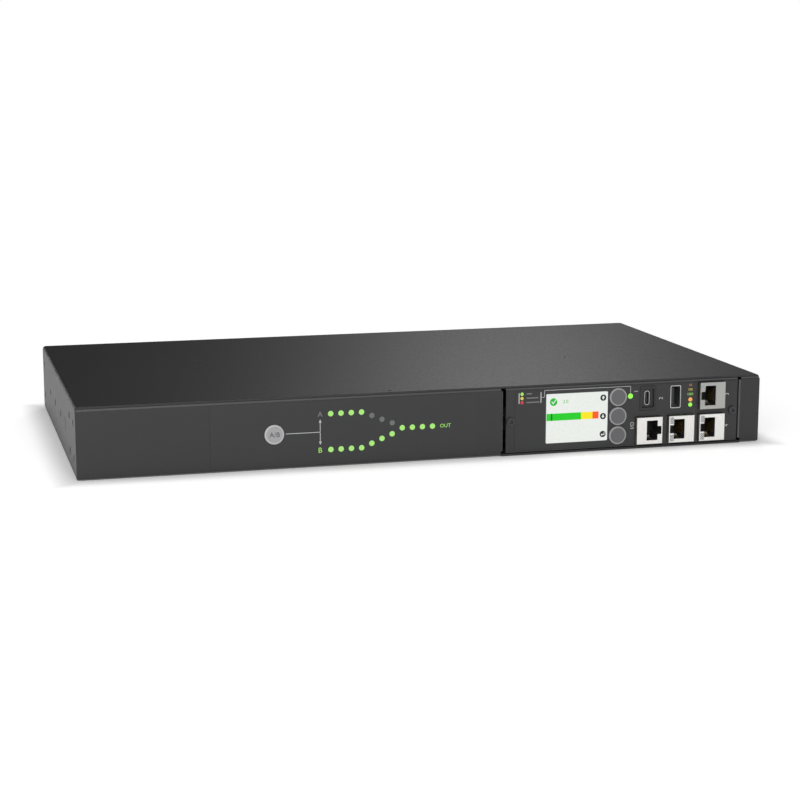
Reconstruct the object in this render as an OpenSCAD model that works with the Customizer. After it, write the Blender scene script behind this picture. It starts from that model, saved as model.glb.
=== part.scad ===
/* [Body] */
// Width over the side faces
body_w = 432; // [430:1:445]
// Depth from the front face to the rear face
body_d = 236; // [228:1:300]
// Height of the one-unit body
body_h = 43.5; // [43.5:0.1:46]
// Thickness of the folded sheet
sheet_t = 1.2; // [1:0.1:1.5]
// Inner radius of a fold in the chassis
fold_in_r = 0.4; // [0.2:0.1:1]
// Inner radius of the long folds of the cover
cover_in_r = 0.8; // [0.4:0.1:1.5]
// Depth of the flanges that carry the cover
flange_d = 12; // [10:0.5:16]
// Corner radius at the foot of the end walls
foot_r = 1.5; // [0.5:0.1:3]
// Corner radius at the head of the end walls
head_r = 2; // [0.5:0.1:3]
// Air between two sheets that lie side by side
lap_gap = 0.1; // [0.05:0.05:0.3]
// How far the centre line of the panel lies below mid height
panel_drop = 0.35; // [0:0.05:1]

/* [Side holes] */
// Radius of the tapped holes for rack brackets
bracket_hole_r = 1.65; // [1.2:0.05:2.2]
// Radius of the clearance holes in the cover over them
cover_hole_r = 2.25; // [2.25:0.05:3]
// Distance of the first bracket column from the front face
bracket_y = 14; // [12:0.5:20]
// Distance between the two bracket columns
bracket_pitch_y = 24; // [18:0.5:30]
// Distance between the two bracket rows
bracket_pitch_z = 21.5; // [15:0.5:26]
// Distances of the mid-mount holes from the front face
mid_hole_y = [100, 137.5, 175];
// Distance of the locating slot from the front face
slot_y = 68; // [60:1:80]
// Height of the locating slot
slot_h = 7.5; // [5:0.5:12]
// Width of the locating slot
slot_w = 2.2; // [1.6:0.1:4]

/* [Indicator panel] */
// Left edge of the panel film from the centre line
film_x0 = -137.5; // [-150:0.5:-120]
// Right edge of the panel film from the centre line
film_x1 = 27; // [20:0.5:35]
// Margin of the film above the foot of the wall
film_foot = 1.6; // [0.5:0.1:4]
// Margin of the film below the head of the wall
film_head = 1.6; // [1:0.1:4]
// Thickness of the printed films
film_t = 0.2; // [0.1:0.05:0.3]
// Radius of an indicator lens
lens_r = 1.65; // [1:0.05:2]
// Air round a lens
lens_fit = 0.08; // [0.05:0.01:0.2]
// First lens of the two source paths from the centre line
lens_x0 = -64.4; // [-70:0.1:-60]
// Distance between lenses
lens_pitch = 6.35; // [5.5:0.05:6.8]
// Heights of the seven path lenses from the panel's centre line
path_rise = [10.98, 10.98, 10.98, 10.98, 8.55, 5.92, 3.4];
// Lenses of a path that belong to its level stretch
level_lenses = 4; // [4:1:4]
// Lenses of the output row
output_lenses_n = 4; // [1:1:4]
// Distance of the indicator board from the front face
indicator_board_y = 12; // [11.5:0.5:14]
// Thickness of the circuit boards
board_t = 1.6; // [1:0.2:2]

/* [Keys] */
// Place of the preference key from the centre line
key_x = -99; // [-110:0.5:-90]
// Radius of the preference key
key_r = 5.9; // [4:0.1:7]
// Radius of a display key
menu_key_r = 5.7; // [4:0.1:5.8]
// Width of the raised rim on a key
key_rim = 0.8; // [0.5:0.05:1.5]
// Depth of the dish inside the rim
key_dish = 0.25; // [0.1:0.05:0.5]
// How far a key stands out of its panel
key_proud = 1.3; // [0.9:0.1:2]
// Travel of a key
key_travel = 0.7; // [0.3:0.1:0.8]
// Air round a key in its hole
key_fit = 0.2; // [0.1:0.05:0.3]
// Radius of the stem behind a key
stem_r = 2.2; // [1.9:0.1:3]
// Side of a tactile switch
switch_w = 6; // [5:0.5:7]
// Height of a tactile switch
switch_h = 3.5; // [3:0.1:4]
// Radius of the switch plunger
plunger_r = 1.7; // [1:0.1:1.8]

/* [Display module] */
// Distance of the module opening from the right side face
module_side = 14.2; // [10:0.1:14.2]
// Width of the module opening
module_w = 157.2; // [157.2:0.1:162]
// Gap between the opening and the faceplate on its left
module_gap_l = 1.6; // [0.5:0.1:2]
// Gap between the opening and the faceplate on its right
module_gap_r = 1; // [0.5:0.1:2]
// Height of the relief under the folds of the opening
relief_h = 3; // [2:0.1:5]
// Distance of the module board from the front face
module_board_y = 14.5; // [14.5:0.5:18]
// Distance of the module screws from the edges of the opening
module_screw_in = 4.5; // [4:0.1:5]
// Width of the display window
window_w = 40.4; // [36:0.1:41]
// Height of the display window
window_h = 30.9; // [26:0.1:31.5]
// Centre of the display window from the left edge of the opening
window_in = 48; // [45.4:0.1:49.4]
// Centre of the display keys from the left edge of the opening
menu_key_in = 75; // [74.4:0.1:75.4]
// Distance between display keys
menu_key_pitch = 12.15; // [12:0.05:12.6]
// Place of the status lens from the left edge of the opening
status_in = 83.3; // [82.9:0.1:83.9]
// Height of the status lens over the panel's centre line
status_rise = 12.3; // [11:0.1:13]
// Radius of the small status lenses
small_lens_r = 1.3; // [0.8:0.05:1.5]
// Place of the two link lenses from the left edge of the opening
link_lens_in = 123.9; // [122.4:0.1:124.9]
// Heights of the link lenses over the panel's centre line
link_lens_rise = [8.2, 4.9];

/* [Jacks and sockets] */
// Width of a network jack across its face
jack_w = 17; // [16:0.1:17]
// Height of a network jack across its face
jack_h = 16.9; // [16:0.1:16.9]
// How far the jacks stand out of the faceplate
jack_proud = 3.4; // [2:0.1:5]
// Thickness of the jack shields
shield_t = 0.35; // [0.2:0.05:0.5]
// Width of the plug cavity in a jack
cavity_w = 7.3; // [6.8:0.1:7.5]
// Height of the plug cavity in a jack
cavity_h = 12.6; // [12:0.1:13]
// Depth of the plug cavity in a jack
cavity_d = 13; // [10:0.5:14]
// Distance of the cavity from the latch side of the face
cavity_in = 3.2; // [2.8:0.1:3.6]
// Length of the latch notch along the face
notch_h = 5.2; // [4:0.1:6]
// Left edges of the jacks from the left edge of the opening: lower left, lower middle, right pair
jack_in = [87, 108.6, 129.3];
// Foot of the lower jacks below the panel's centre line
jack_low = 18.25; // [17.6:0.05:18.4]
// Foot of the upper jack over the panel's centre line
jack_high = 2.1; // [1.5:0.05:2.2]
// Place of the console socket from the left edge of the opening
console_in = 95; // [94.4:0.1:95.9]
// Place of the data socket from the left edge of the opening
data_in = 113.8; // [112.4:0.1:114.4]
// Height of both sockets over the panel's centre line
socket_rise = 10.4; // [9.8:0.1:10.6]

/* [Rear connectors] */
// Outlets in one bank
bank_outlets = 4; // [4:1:4]
// Number of banks
banks = 3; // [1:1:3]
// Distance between outlets in a bank
outlet_pitch = 25.5; // [24.5:0.1:25.8]
// Distance between banks
bank_gap = 5; // [4:0.5:6]
// Distance of the first bank from the side face
bank_margin = 11; // [10:0.5:13]
// Height of the bank flange
bank_h = 33.4; // [33:0.1:34]
// Thickness of the connector flanges
connector_flange_t = 1.8; // [1.2:0.1:2.5]
// Depth of a connector body behind the rear wall
connector_d = 24; // [22:0.5:28]
// Width of the outlet core
core_w = 16; // [15:0.1:16.4]
// Height of the outlet core
core_h = 24; // [22:0.1:24.4]
// Air between an outlet core and its collar
core_gap = 2; // [1.8:0.05:2.2]
// Depth of the outlet recess
outlet_d = 16; // [14:0.5:18]
// Width of an inlet flange
inlet_w = 31; // [30:0.5:33]
// Height of an inlet flange
inlet_h = 25; // [24:0.5:27]
// Width of the inlet recess
inlet_recess_w = 24.6; // [24:0.1:25]
// Height of the inlet recess
inlet_recess_h = 16.6; // [16:0.1:17]
// Distance from the last bank to the first inlet
inlet_margin = 7; // [5:0.5:10]
// Distance between the two inlets
inlet_pitch = 36; // [34:0.5:38]
// Distance between the line pins of an inlet
pin_pitch = 14; // [13:0.1:14.5]
// Radius of the earth stud
stud_r = 2; // [1.5:0.1:2.5]
// Distance of the earth stud from the side face
stud_in = 14; // [13:0.5:16]

/* [Power board] */
// Height of the board over the floor of the chassis
board_lift = 5.8; // [4:0.2:8]
// Distance of the board's front edge from the front face
board_front = 32; // [30:1:40]
// Gap between the board and the connector bodies
board_rear_gap = 1; // [0.5:0.5:3]
// Side of a transfer relay
relay_w = 30; // [26:1:32]
// Length of a transfer relay
relay_l = 36; // [30:1:40]
// Height of a transfer relay
relay_h = 25; // [20:1:28]
// Distance between transfer relays
relay_pitch = 37; // [35:0.5:40]
// First transfer relay from the centre line
relay_x0 = -70; // [-74:0.5:-66]
// Distance of the relays from the rear face
relay_rear = 74; // [72:0.5:80]
// Width of the transformer iron
iron_w = 34; // [28:1:36]
// Thickness of the transformer iron
iron_d = 14; // [10:0.5:16]
// Width of a leg of the iron
iron_leg = 3.5; // [2.5:0.1:4.5]
// Air between the transformer iron and the cover
iron_air = 2.7; // [1:0.1:6]
// Distance of the transformers from the left side wall
transformer_side = 36.7; // [30:0.1:40]
// Distances of the transformers from the front face
transformer_y = [92, 134];
// Radius of a bulk capacitor
capacitor_r = 8; // [5:0.5:9]
// Height of a bulk capacitor
capacitor_h = 25; // [15:1:28]
// First bulk capacitor from the centre line
capacitor_x0 = -128; // [-132:0.5:-124]
// Distance between bulk capacitors
capacitor_pitch = 20; // [18.5:0.5:22]
// Distance of the bulk capacitors from the front face
capacitor_y = 84; // [70:0.5:90]
// Width, length and height of a film capacitor
film_cap_size = [10, 26, 19];
// Distance of the last film capacitor from the right side wall
film_cap_side = 30.7; // [26:0.1:40]
// Distance between film capacitors
film_cap_pitch = 16; // [12:0.5:18]
// Distance of the film capacitors from the rear face
film_cap_rear = 90; // [80:0.5:100]
// Radius of a current sensor
sensor_r = 11; // [9:0.5:12]
// Radius of the bore of a current sensor
sensor_bore_r = 5.5; // [4:0.5:6.5]
// Thickness of a current sensor
sensor_t = 9; // [6:0.5:10]
// Places of the current sensors: from the centre line and from the rear face
sensor_places = [[-100, 52], [92, 78]];
// Place of the panel's ribbon cable from the centre line
panel_ribbon_x = -50; // [-60:1:-30]
// Place of the module's ribbon cable from the left edge of the module opening
module_ribbon_in = 75.4; // [70:0.1:80]
// Width of the ribbon cables
ribbon_w = 20; // [12:1:26]
// Thickness of the ribbon cables
ribbon_t = 0.9; // [0.6:0.1:1.2]

/* [Hidden] */
$fn = 64;

// Faces and levels of the body
front_y = -body_d / 2;
rear_y = body_d / 2;
side_x = body_w / 2 - sheet_t - lap_gap;
lid_z = body_h - sheet_t;
panel_z = body_h / 2 - panel_drop;
fold_r = fold_in_r + sheet_t;
cover_r = cover_in_r + sheet_t;
inner_y = front_y + sheet_t;
flange_x = side_x - sheet_t - fold_r;
cover_foot = sheet_t + lap_gap;
film_y = front_y - film_t;
module_x1 = body_w / 2 - module_side;
module_x0 = module_x1 - module_w;
window_x = module_x0 + window_in;
menu_key_x = module_x0 + menu_key_in;
status_x = module_x0 + status_in;
link_lens_x = module_x0 + link_lens_in;
jack_x = [for (x = jack_in) module_x0 + x];
console_x = module_x0 + console_in;
data_x = module_x0 + data_in;

// Side holes
bracket_z = [panel_z - bracket_pitch_z / 2, panel_z + bracket_pitch_z / 2];
rear_bracket_y = rear_y - 11;
bracket_columns = [front_y + bracket_y, front_y + bracket_y + bracket_pitch_y];

// Screws of the cover
screw_r = 1.5;
screw_head_r = screw_r + sheet_t - 0.1;
screw_sunk = 0.05;
screw_fit = 0.1;
screw_l = 7;
tap_fit = 0.05;
front_screw = [-26, front_y + 6.5];
post_screws = [[-120.5, 24], [119, -22]];
post_r = 3.2;
post_tap_d = 12;

// Lenses
lens_step = [for (k = [0 : len(path_rise) - 1]) lens_x0 + k * lens_pitch];
path_a = [for (k = [0 : len(path_rise) - 1]) [lens_step[k], panel_z + path_rise[k]]];
path_b = [for (k = [0 : len(path_rise) - 1]) [lens_step[k], panel_z - path_rise[k]]];
output_row = [for (k = [0 : output_lenses_n - 1]) [lens_x0 + (len(path_rise) + k) * lens_pitch, panel_z]];
link_spots = [for (rise = link_lens_rise) [link_lens_x, panel_z + rise]];
status_spot = [status_x, panel_z + status_rise];
lens_proud = 0.05;
lens_flange = 0.25;
lens_flange_t = 0.8;
led_side = 2.8;
led_h = 1.5;
led_gap = 0.3;

// Boards behind the panel
board_a_y = front_y + indicator_board_y;
board_m_y = front_y + module_board_y;
board_foot = 5;
indicator_board_in = [3.5, 23];
indicator_board_h = 28;
indicator_board_x = [film_x0 + indicator_board_in[0], film_x1 - indicator_board_in[1]];
indicator_board_z = [panel_z - indicator_board_h / 2, panel_z + indicator_board_h / 2];
pillar_r = 2.2;
pillar_edge = 5;
pillar_key_gap = 15;
pillar_rise = 10.5;
pillar_spots_a = [for (x = [indicator_board_x[0] + pillar_edge, key_x + pillar_key_gap,
    indicator_board_x[1] - pillar_edge]) for (z = [-pillar_rise, pillar_rise]) [x, panel_z + z]];
module_board_in = [11, 9.5];
module_board_edge = [3, 2.5];
module_board_x = [module_x0 + module_board_in[0], module_x1 - module_board_in[1]];
module_board_z = [sheet_t + module_board_edge[0], lid_z - module_board_edge[1]];
window_pillar_gap = 12.8;
window_pillar_rise = 14;
link_pillar_rise = 15.5;
key_pillar_gap = 9.3;
key_pillar_drop = 7;
pillar_spots_m = [for (side = [-1, 1])
    [window_x - window_w / 2 - window_pillar_gap, panel_z + side * window_pillar_rise],
    [link_lens_x - 1, panel_z + link_pillar_rise], [menu_key_x + key_pillar_gap, panel_z - key_pillar_drop]];

// Keys
key_flange = 0.5;
key_flange_t = 1;
key_seat = 0.1;
key_edge = 0.35;
menu_keys = [for (k = [1, 0, -1]) [menu_key_x, panel_z + k * menu_key_pitch]];
plunger_proud = 1.2;
plunger_fit = 0.1;
plunger_room = 0.3;
plunger_in = 1.5;

// Display module
face_x = [module_x0 + module_gap_l, module_x1 - module_gap_r];
face_z = [sheet_t + 0.15, lid_z - lap_gap];
face_flange_d = 9;
film_inset = 5.8;
module_film_z = [face_z[0] + 1.6, face_z[1] - fold_r - 0.2];
window_z = panel_z + 0.5;
window_fit = 0.25;
glass_t = 1.1;
panel_rim = 2.4;
panel_rim_r = 0.4;
display_t = 3;
carrier_wall = 1.6;
tab_w = 9;
tab_h = 15;
tab_y = 12;
module_screw_r = 1.5;
module_screw_head_r = 2.6;
module_screw_head_h = 1.4;
module_screws_x = [module_x0 + module_screw_in, module_x1 - module_screw_in];
module_screw_tip = tab_y + sheet_t + 2;

// Jacks and sockets
jack_fit = 0.3;
jack_y = front_y - jack_proud;
low_jack_z = panel_z - jack_low;
high_jack_z = panel_z + jack_high;
jack_spots = [[jack_x[2], high_jack_z, 0], [jack_x[0], low_jack_z, 1], [jack_x[1], low_jack_z, 0],
    [jack_x[2], low_jack_z, 0]];
cavity_z = (jack_h - cavity_h) / 2 + 0.1;
notch_w = cavity_in - 0.6;
contact_n = 8;
contact_pitch = 1.02;
contact_t = 0.35;
socket_z = panel_z + socket_rise;
bezel_w = 10.5;
bezel_h = 15.4;
bezel_r = 1.2;
console_w = 3.3;
console_h = 9;
console_wall = 0.3;
data_w = 7;
data_h = 14.4;
data_wall = 0.4;
socket_fit = 0.2;
data_tongue_t = 2;
console_tongue_t = 0.7;

// Rear connectors
bank_pitch = bank_outlets * outlet_pitch + bank_gap;
bank_x = [for (k = [0 : banks - 1]) -body_w / 2 + bank_margin + k * bank_pitch];
bank_w = bank_outlets * outlet_pitch;
connector_lip = 1.6;
connector_fit = 0.2;
connector_y = rear_y - connector_d;
inlet_x = [for (k = [0, 1]) bank_x[banks - 1] + bank_w + inlet_margin + inlet_w / 2 + k * inlet_pitch];
outlet_bevel = 4;
inlet_bevel = 4.5;
slot_in = 2;
pin_w = 2;
pin_h = 4;
pin_l = 13.5;
terminal_w = 1.2;
terminal_l = 4;
stud_x = body_w / 2 - stud_in;
stud_l = 6;

// Power board
board_z = sheet_t + board_lift;
board_top = board_z + board_t;
board_x = side_x - sheet_t - 4;
board_y = [front_y + board_front, connector_y - board_rear_gap];
standoff_r = 3;
standoff_bore = 1.55;
standoff_in = 11.5;
standoff_spots = [for (x = [-board_x + standoff_in, 0, board_x - standoff_in])
    for (y = [board_y[0] + 8, board_y[1] - 16]) [x, y]];
insulation_t = 0.4;
relay_spots = [for (k = [0 : 3]) [relay_x0 + k * relay_pitch, rear_y - relay_rear]];
iron_lift = 3;
iron_h = lid_z - iron_air - iron_lift - board_top;
coil_over = 5.5;
coil_fit = 0.15;
transformer_spots = [for (y = transformer_y) [-side_x + transformer_side, front_y + y]];
capacitor_spots = [for (k = [0 : 3]) [capacitor_x0 + k * capacitor_pitch, front_y + capacitor_y]];
film_cap_spots = [for (k = [0 : 3]) [side_x - film_cap_side - k * film_cap_pitch, rear_y - film_cap_rear]];
sensor_spots = [for (place = sensor_places) [place[0], rear_y - place[1]]];
board_edge_y = front_y + board_front;

// ---- Shared shapes ----

// Stands a front-view outline (x, z) up as a solid between two depths
module along_y(y0, y1) {
    translate([0, y1, 0]) rotate([90, 0, 0]) linear_extrude(y1 - y0) children();
}

// Runs a side-view section (y, z) along the width
module along_x(x0, x1) {
    translate([x0, 0, 0]) rotate([90, 0, 90]) linear_extrude(x1 - x0) children();
}

// Raises a plan outline between two levels
module along_z(z0, z1) {
    translate([0, 0, z0]) linear_extrude(z1 - z0) children();
}

// Box between two corners
module block(lo, hi) {
    translate(lo) cube(hi - lo);
}

// Round bar that runs towards the rear
module rod_y(x, z, y0, y1, r) {
    translate([x, y0, z]) rotate([-90, 0, 0]) cylinder(h = y1 - y0, r = r);
}

// Rectangle centred on the origin with round corners
module round_rect(w, h, r) {
    square([w - 2 * r, h], center = true);
    square([w, h - 2 * r], center = true);
    for (x = [-1, 1]) for (z = [-1, 1])
        translate([x * (w / 2 - r), z * (h / 2 - r)]) circle(r);
}

// Quarter of a folded corner of sheet, between the two axes
module fold(r) {
    intersection() {
        square(r);
        translate([r, r]) difference() {
            circle(r);
            circle(r - sheet_t);
        }
    }
}

// Section of a wall on the vertical axis, folded inwards at its foot and its head
module folded_wall(h, foot, head) {
    fold(fold_r);
    translate([0, h]) mirror([0, 1]) fold(fold_r);
    translate([0, fold_r]) square([sheet_t, h - 2 * fold_r]);
    if (foot > fold_r) translate([fold_r, 0]) square([foot - fold_r, sheet_t]);
    if (head > fold_r) translate([fold_r, h - sheet_t]) square([head - fold_r, sheet_t]);
}

// Outline of a mains socket on its side, with its two earth corners cut off
module mains_outline(w, h, cut) {
    polygon([[-w / 2, -h / 2], [w / 2 - cut, -h / 2], [w / 2, -h / 2 + cut],
        [w / 2, h / 2 - cut], [w / 2 - cut, h / 2], [-w / 2, h / 2]]);
}

// ---- Chassis ----

// Front-view outline of an end wall, with its four corners rounded
module end_outline() {
    foot_z = foot_r;
    peak_z = lid_z - head_r;
    translate([0, lid_z / 2]) square([body_w - 2 * max(foot_r, head_r), lid_z], center = true);
    translate([-body_w / 2, foot_z]) square([body_w, peak_z - foot_z]);
    for (x = [-1, 1]) {
        translate([x * (body_w / 2 - foot_r), foot_z]) circle(foot_r);
        translate([x * (body_w / 2 - head_r), peak_z]) circle(head_r);
    }
}

// End wall with its folds, standing at the front, over the spans given
module end_wall(spans) {
    intersection() {
        for (span = spans) {
            along_x(max(span[0], -flange_x), min(span[1], flange_x))
                translate([front_y, 0]) folded_wall(lid_z, fold_r + 1, flange_d);
            along_x(span[0], span[1]) translate([front_y, 0]) intersection() {
                folded_wall(lid_z, fold_r, fold_r);
                square([sheet_t, lid_z]);
            }
        }
        along_y(front_y - 1, front_y + flange_d + 1) end_outline();
    }
}

// Fold up the left edge of the module opening, with the tab that takes a module screw
module opening_fold() {
    leg = tab_y - fold_r;
    translate([module_x0, front_y]) mirror([1, 0]) {
        along_z(relief_h, lid_z - fold_r) {
            fold(fold_r);
            translate([0, fold_r]) square([sheet_t, leg - fold_r]);
        }
        difference() {
            along_z(panel_z - tab_h / 2, panel_z + tab_h / 2) {
                translate([0, leg - 1]) square([sheet_t, 1]);
                translate([sheet_t, tab_y]) rotate(180) fold(fold_r);
                translate([-tab_w, tab_y - sheet_t]) square([tab_w + sheet_t - fold_r, sheet_t]);
            }
            rod_y(-module_screw_in, panel_z, 0, tab_y + 1, module_screw_r + tap_fit);
        }
    }
}

module opening_folds() {
    opening_fold();
    translate([module_x0 + module_x1, 0, 0]) mirror([1, 0, 0]) opening_fold();
}

// Holes in one side of the chassis or the cover, for a radius
module side_holes(r) {
    for (y = concat(bracket_columns, [rear_bracket_y])) for (z = bracket_z)
        translate([-body_w / 2 - 1, y, z]) rotate([0, 90, 0]) cylinder(h = 5, r = r);
    for (y = mid_hole_y)
        translate([-body_w / 2 - 1, front_y + y, panel_z]) rotate([0, 90, 0]) cylinder(h = 5, r = r);
}

// Slot in one side that takes a locating tab
module side_slot(grow) {
    block([-body_w / 2 - 1, front_y + slot_y - slot_w / 2 - grow, panel_z - slot_h / 2 - grow],
        [-side_x + sheet_t + 1, front_y + slot_y + slot_w / 2 + grow, panel_z + slot_h / 2 + grow]);
}

module both_sides() {
    children();
    mirror([1, 0, 0]) children();
}

module side_wall() {
    intersection() {
        along_y(inner_y + 1, rear_y - sheet_t - 1)
            translate([-side_x, 0]) folded_wall(lid_z - 0.3, fold_r + 1, fold_r);
        block([-side_x, front_y, 0], [-side_x + fold_r + 1, rear_y, lid_z - 0.3 - fold_r]);
    }
}

module base_floor() {
    block([-side_x + fold_r, front_y + fold_r, 0], [side_x - fold_r, rear_y - fold_r, sheet_t]);
    block([module_x0 - fold_r, front_y, 0], [module_x1 + fold_r, front_y + fold_r + 1, sheet_t]);
}

module rear_openings() {
    for (x = bank_x) translate([x + bank_w / 2, 0, 0]) along_y(rear_y - 3, rear_y + 1)
        translate([0, panel_z]) square([bank_w - 2 * connector_lip + 2 * connector_fit,
            bank_h - 2 * connector_lip + 2 * connector_fit], center = true);
    for (x = inlet_x) translate([x, 0, 0]) along_y(rear_y - 3, rear_y + 1)
        translate([0, panel_z]) square([inlet_w - 2 * connector_lip + 2 * connector_fit,
            inlet_h - 2 * connector_lip + 2 * connector_fit], center = true);
    rod_y(stud_x, panel_z, rear_y - 3, rear_y + 1, stud_r + tap_fit);
}

module base_chassis() {
    color("dimgray") difference() {
        union() {
            base_floor();
            both_sides() side_wall();
            end_wall([[-body_w / 2, module_x0 - fold_r], [module_x1 + fold_r, body_w / 2]]);
            mirror([0, 1, 0]) end_wall([[-body_w / 2, body_w / 2]]);
            opening_folds();
        }
        both_sides() side_holes(bracket_hole_r);
        both_sides() side_slot(0);
        rear_openings();
        for (spot = concat(path_a, path_b, output_row))
            rod_y(spot[0], spot[1], front_y - 1, inner_y + 1, lens_r + lens_fit);
        rod_y(key_x, panel_z, front_y - 1, inner_y + 1, key_r + key_fit);
        translate([front_screw[0], front_screw[1], lid_z - 3]) cylinder(h = 5, r = screw_r + tap_fit);
    }
}

// ---- Cover ----

module cover_section() {
    translate([-body_w / 2, body_h]) mirror([0, 1]) {
        cover_fold();
        translate([0, cover_r]) square([sheet_t, lid_z - cover_foot - cover_in_r]);
        translate([cover_r, 0]) square([body_w / 2 - cover_r, sheet_t]);
    }
}

module cover_fold() {
    intersection() {
        square(cover_r);
        translate([cover_r, cover_r]) difference() {
            circle(cover_r);
            circle(cover_in_r);
        }
    }
}

// Countersunk hole or screw, its head up, at the top of the body
module flat_screw(head_r, shank_r, l) {
    translate([0, 0, -l]) cylinder(h = l, r = shank_r);
    translate([0, 0, -(head_r - shank_r)]) cylinder(h = head_r - shank_r, r1 = shank_r, r2 = head_r);
}

module top_cover() {
    color("dimgray") difference() {
        along_y(inner_y + lap_gap, rear_y - sheet_t - lap_gap) both_halves() cover_section();
        both_sides() side_holes(cover_hole_r);
        both_sides() side_slot(0);
        for (spot = concat([front_screw], post_screws))
            translate([spot[0], spot[1], body_h + 0.01])
                flat_screw(screw_head_r + 0.01 + screw_fit, screw_r + screw_fit, 3);
    }
}

module both_halves() {
    children();
    mirror([1, 0]) children();
}

module cover_screws() {
    color("black") for (spot = concat([front_screw], post_screws)) translate([spot[0], spot[1], body_h - screw_sunk])
        difference() {
            flat_screw(screw_head_r, screw_r, screw_l);
            translate([0, 0, -0.9]) cylinder(h = 2, r = 1.35, $fn = 6);
        }
}

module cover_posts() {
    color("silver") for (spot = post_screws) translate([spot[0], spot[1], 0]) difference() {
        translate([0, 0, sheet_t]) cylinder(h = lid_z - sheet_t, r = post_r, $fn = 6);
        translate([0, 0, lid_z - post_tap_d]) cylinder(h = post_tap_d + 1, r = screw_r + tap_fit);
    }
}

// Lanced tabs welded inside the side walls, that reach through the slots and locate the cover
module locating_tabs() {
    color("silver") both_sides() {
        x_in = -side_x + sheet_t;
        block([-body_w / 2 + 0.2, front_y + slot_y - slot_w / 2 + 0.15, panel_z - slot_h / 2 + 0.15],
            [x_in + 1.5, front_y + slot_y + slot_w / 2 - 0.15, panel_z + slot_h / 2 - 0.15]);
        block([x_in, front_y + slot_y - 4, panel_z - slot_h / 2 - 3],
            [x_in + 1.5, front_y + slot_y + 4, panel_z + slot_h / 2 + 3]);
    }
}

// ---- Indicator panel ----

module panel_film() {
    w = film_x1 - film_x0;
    h = lid_z - film_foot - film_head;
    color([0.2, 0.2, 0.2]) difference() {
        along_y(film_y, front_y) translate([(film_x0 + film_x1) / 2, film_foot + h / 2]) round_rect(w, h, 1.5);
        for (spot = concat(path_a, path_b, output_row))
            rod_y(spot[0], spot[1], film_y - 1, front_y + 1, lens_r + lens_fit);
        rod_y(key_x, panel_z, film_y - 1, front_y + 1, key_r + key_fit);
    }
}

// Light guide from a lamp on a board through the panel
module lens(spot, r, board_y) {
    rod_y(spot[0], spot[1], film_y - lens_proud, board_y - led_h - led_gap, r);
    rod_y(spot[0], spot[1], inner_y, inner_y + lens_flange_t, r + lens_flange);
}

module lens_group(spots) {
    for (spot = spots) lens(spot, lens_r, board_a_y);
}

module path_a_lit_lenses() {
    color("lightgreen") lens_group([for (k = [0 : level_lenses - 1]) path_a[k]]);
}

module path_a_dark_lenses() {
    color("gray") lens_group([for (k = [level_lenses : len(path_a) - 1]) path_a[k]]);
}

module path_b_lenses() {
    color("lightgreen") lens_group(path_b);
}

module output_lenses() {
    color("lightgreen") lens_group(output_row);
}

module led(spot, board_y) {
    block([spot[0] - led_side / 2, board_y - led_h, spot[1] - led_side / 2],
        [spot[0] + led_side / 2, board_y, spot[1] + led_side / 2]);
}

module board_leds() {
    color("ivory") {
        for (spot = concat(path_a, path_b, output_row)) led(spot, board_a_y);
        for (spot = concat(link_spots, [status_spot])) led(spot, board_m_y);
    }
}

module indicator_board() {
    color("darkgreen") difference() {
        block([indicator_board_x[0], board_a_y, indicator_board_z[0]],
            [indicator_board_x[1], board_a_y + board_t, indicator_board_z[1]]);
        for (spot = pillar_spots_a) rod_y(spot[0], spot[1], board_a_y - 1, board_a_y + 3, standoff_bore);
    }
}

// Pillars between the panel and its boards, each with the screw that holds the board
module pillar(spot, board_y) {
    rod_y(spot[0], spot[1], inner_y, board_y, pillar_r);
    rod_y(spot[0], spot[1], board_y, board_y + board_t, standoff_bore - 0.1);
    rod_y(spot[0], spot[1], board_y + board_t, board_y + board_t + 1.6, standoff_bore + 1);
}

module panel_pillars() {
    color("silver") {
        for (spot = pillar_spots_a) pillar(spot, board_a_y);
        for (spot = pillar_spots_m) pillar(spot, board_m_y);
    }
}

// ---- Keys ----

// Round key with a raised rim, a flange behind the panel that is cut flat at its sides, and a stem
module key(spot, r, board_y, side) {
    tip = board_y - switch_h - plunger_proud;
    dish = r - key_rim;
    rim_y = front_y - key_proud;
    seat_y = inner_y + key_seat;
    back_y = seat_y + key_flange_t;
    translate([spot[0], 0, spot[1]]) {
        rotate([-90, 0, 0]) rotate_extrude() polygon([[0, rim_y + key_dish], [dish - key_dish, rim_y + key_dish],
            [dish, rim_y], [r - key_edge, rim_y], [r, rim_y + key_edge], [r, back_y], [stem_r, back_y],
            [stem_r, tip], [0, tip]]);
        along_y(seat_y, back_y) intersection() {
            circle(r + key_flange);
            translate([-r - key_fit, -side]) square([2 * r + key_fit + key_flange, 2 * side]);
        }
    }
}

// Plunger between a key's stem and its switch
module plunger(spot, board_y) {
    rod_y(spot[0], spot[1], board_y - switch_h - plunger_proud, board_y - switch_h + plunger_in, plunger_r);
}

module tact_switch(spot, board_y) {
    bore_y = board_y - switch_h + plunger_in + key_travel + plunger_room;
    difference() {
        block([spot[0] - switch_w / 2, board_y - switch_h, spot[1] - switch_w / 2],
            [spot[0] + switch_w / 2, board_y, spot[1] + switch_w / 2]);
        rod_y(spot[0], spot[1], board_y - switch_h - 1, bore_y, plunger_r + plunger_fit);
    }
}

module preference_key() {
    color("darkgray") key([key_x, panel_z], key_r, board_a_y, key_r + key_flange);
}

module preference_plunger() {
    color("white") plunger([key_x, panel_z], board_a_y);
}

module menu_key(k) {
    color("gray") key(menu_keys[k], menu_key_r, board_m_y, menu_key_pitch / 2 - 0.15);
}

module menu_plunger(k) {
    color("white") plunger(menu_keys[k], board_m_y);
}

module tact_switches() {
    color([0.15, 0.15, 0.15]) {
        tact_switch([key_x, panel_z], board_a_y);
        for (spot = menu_keys) tact_switch(spot, board_m_y);
    }
}

// ---- Display module ----

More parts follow.
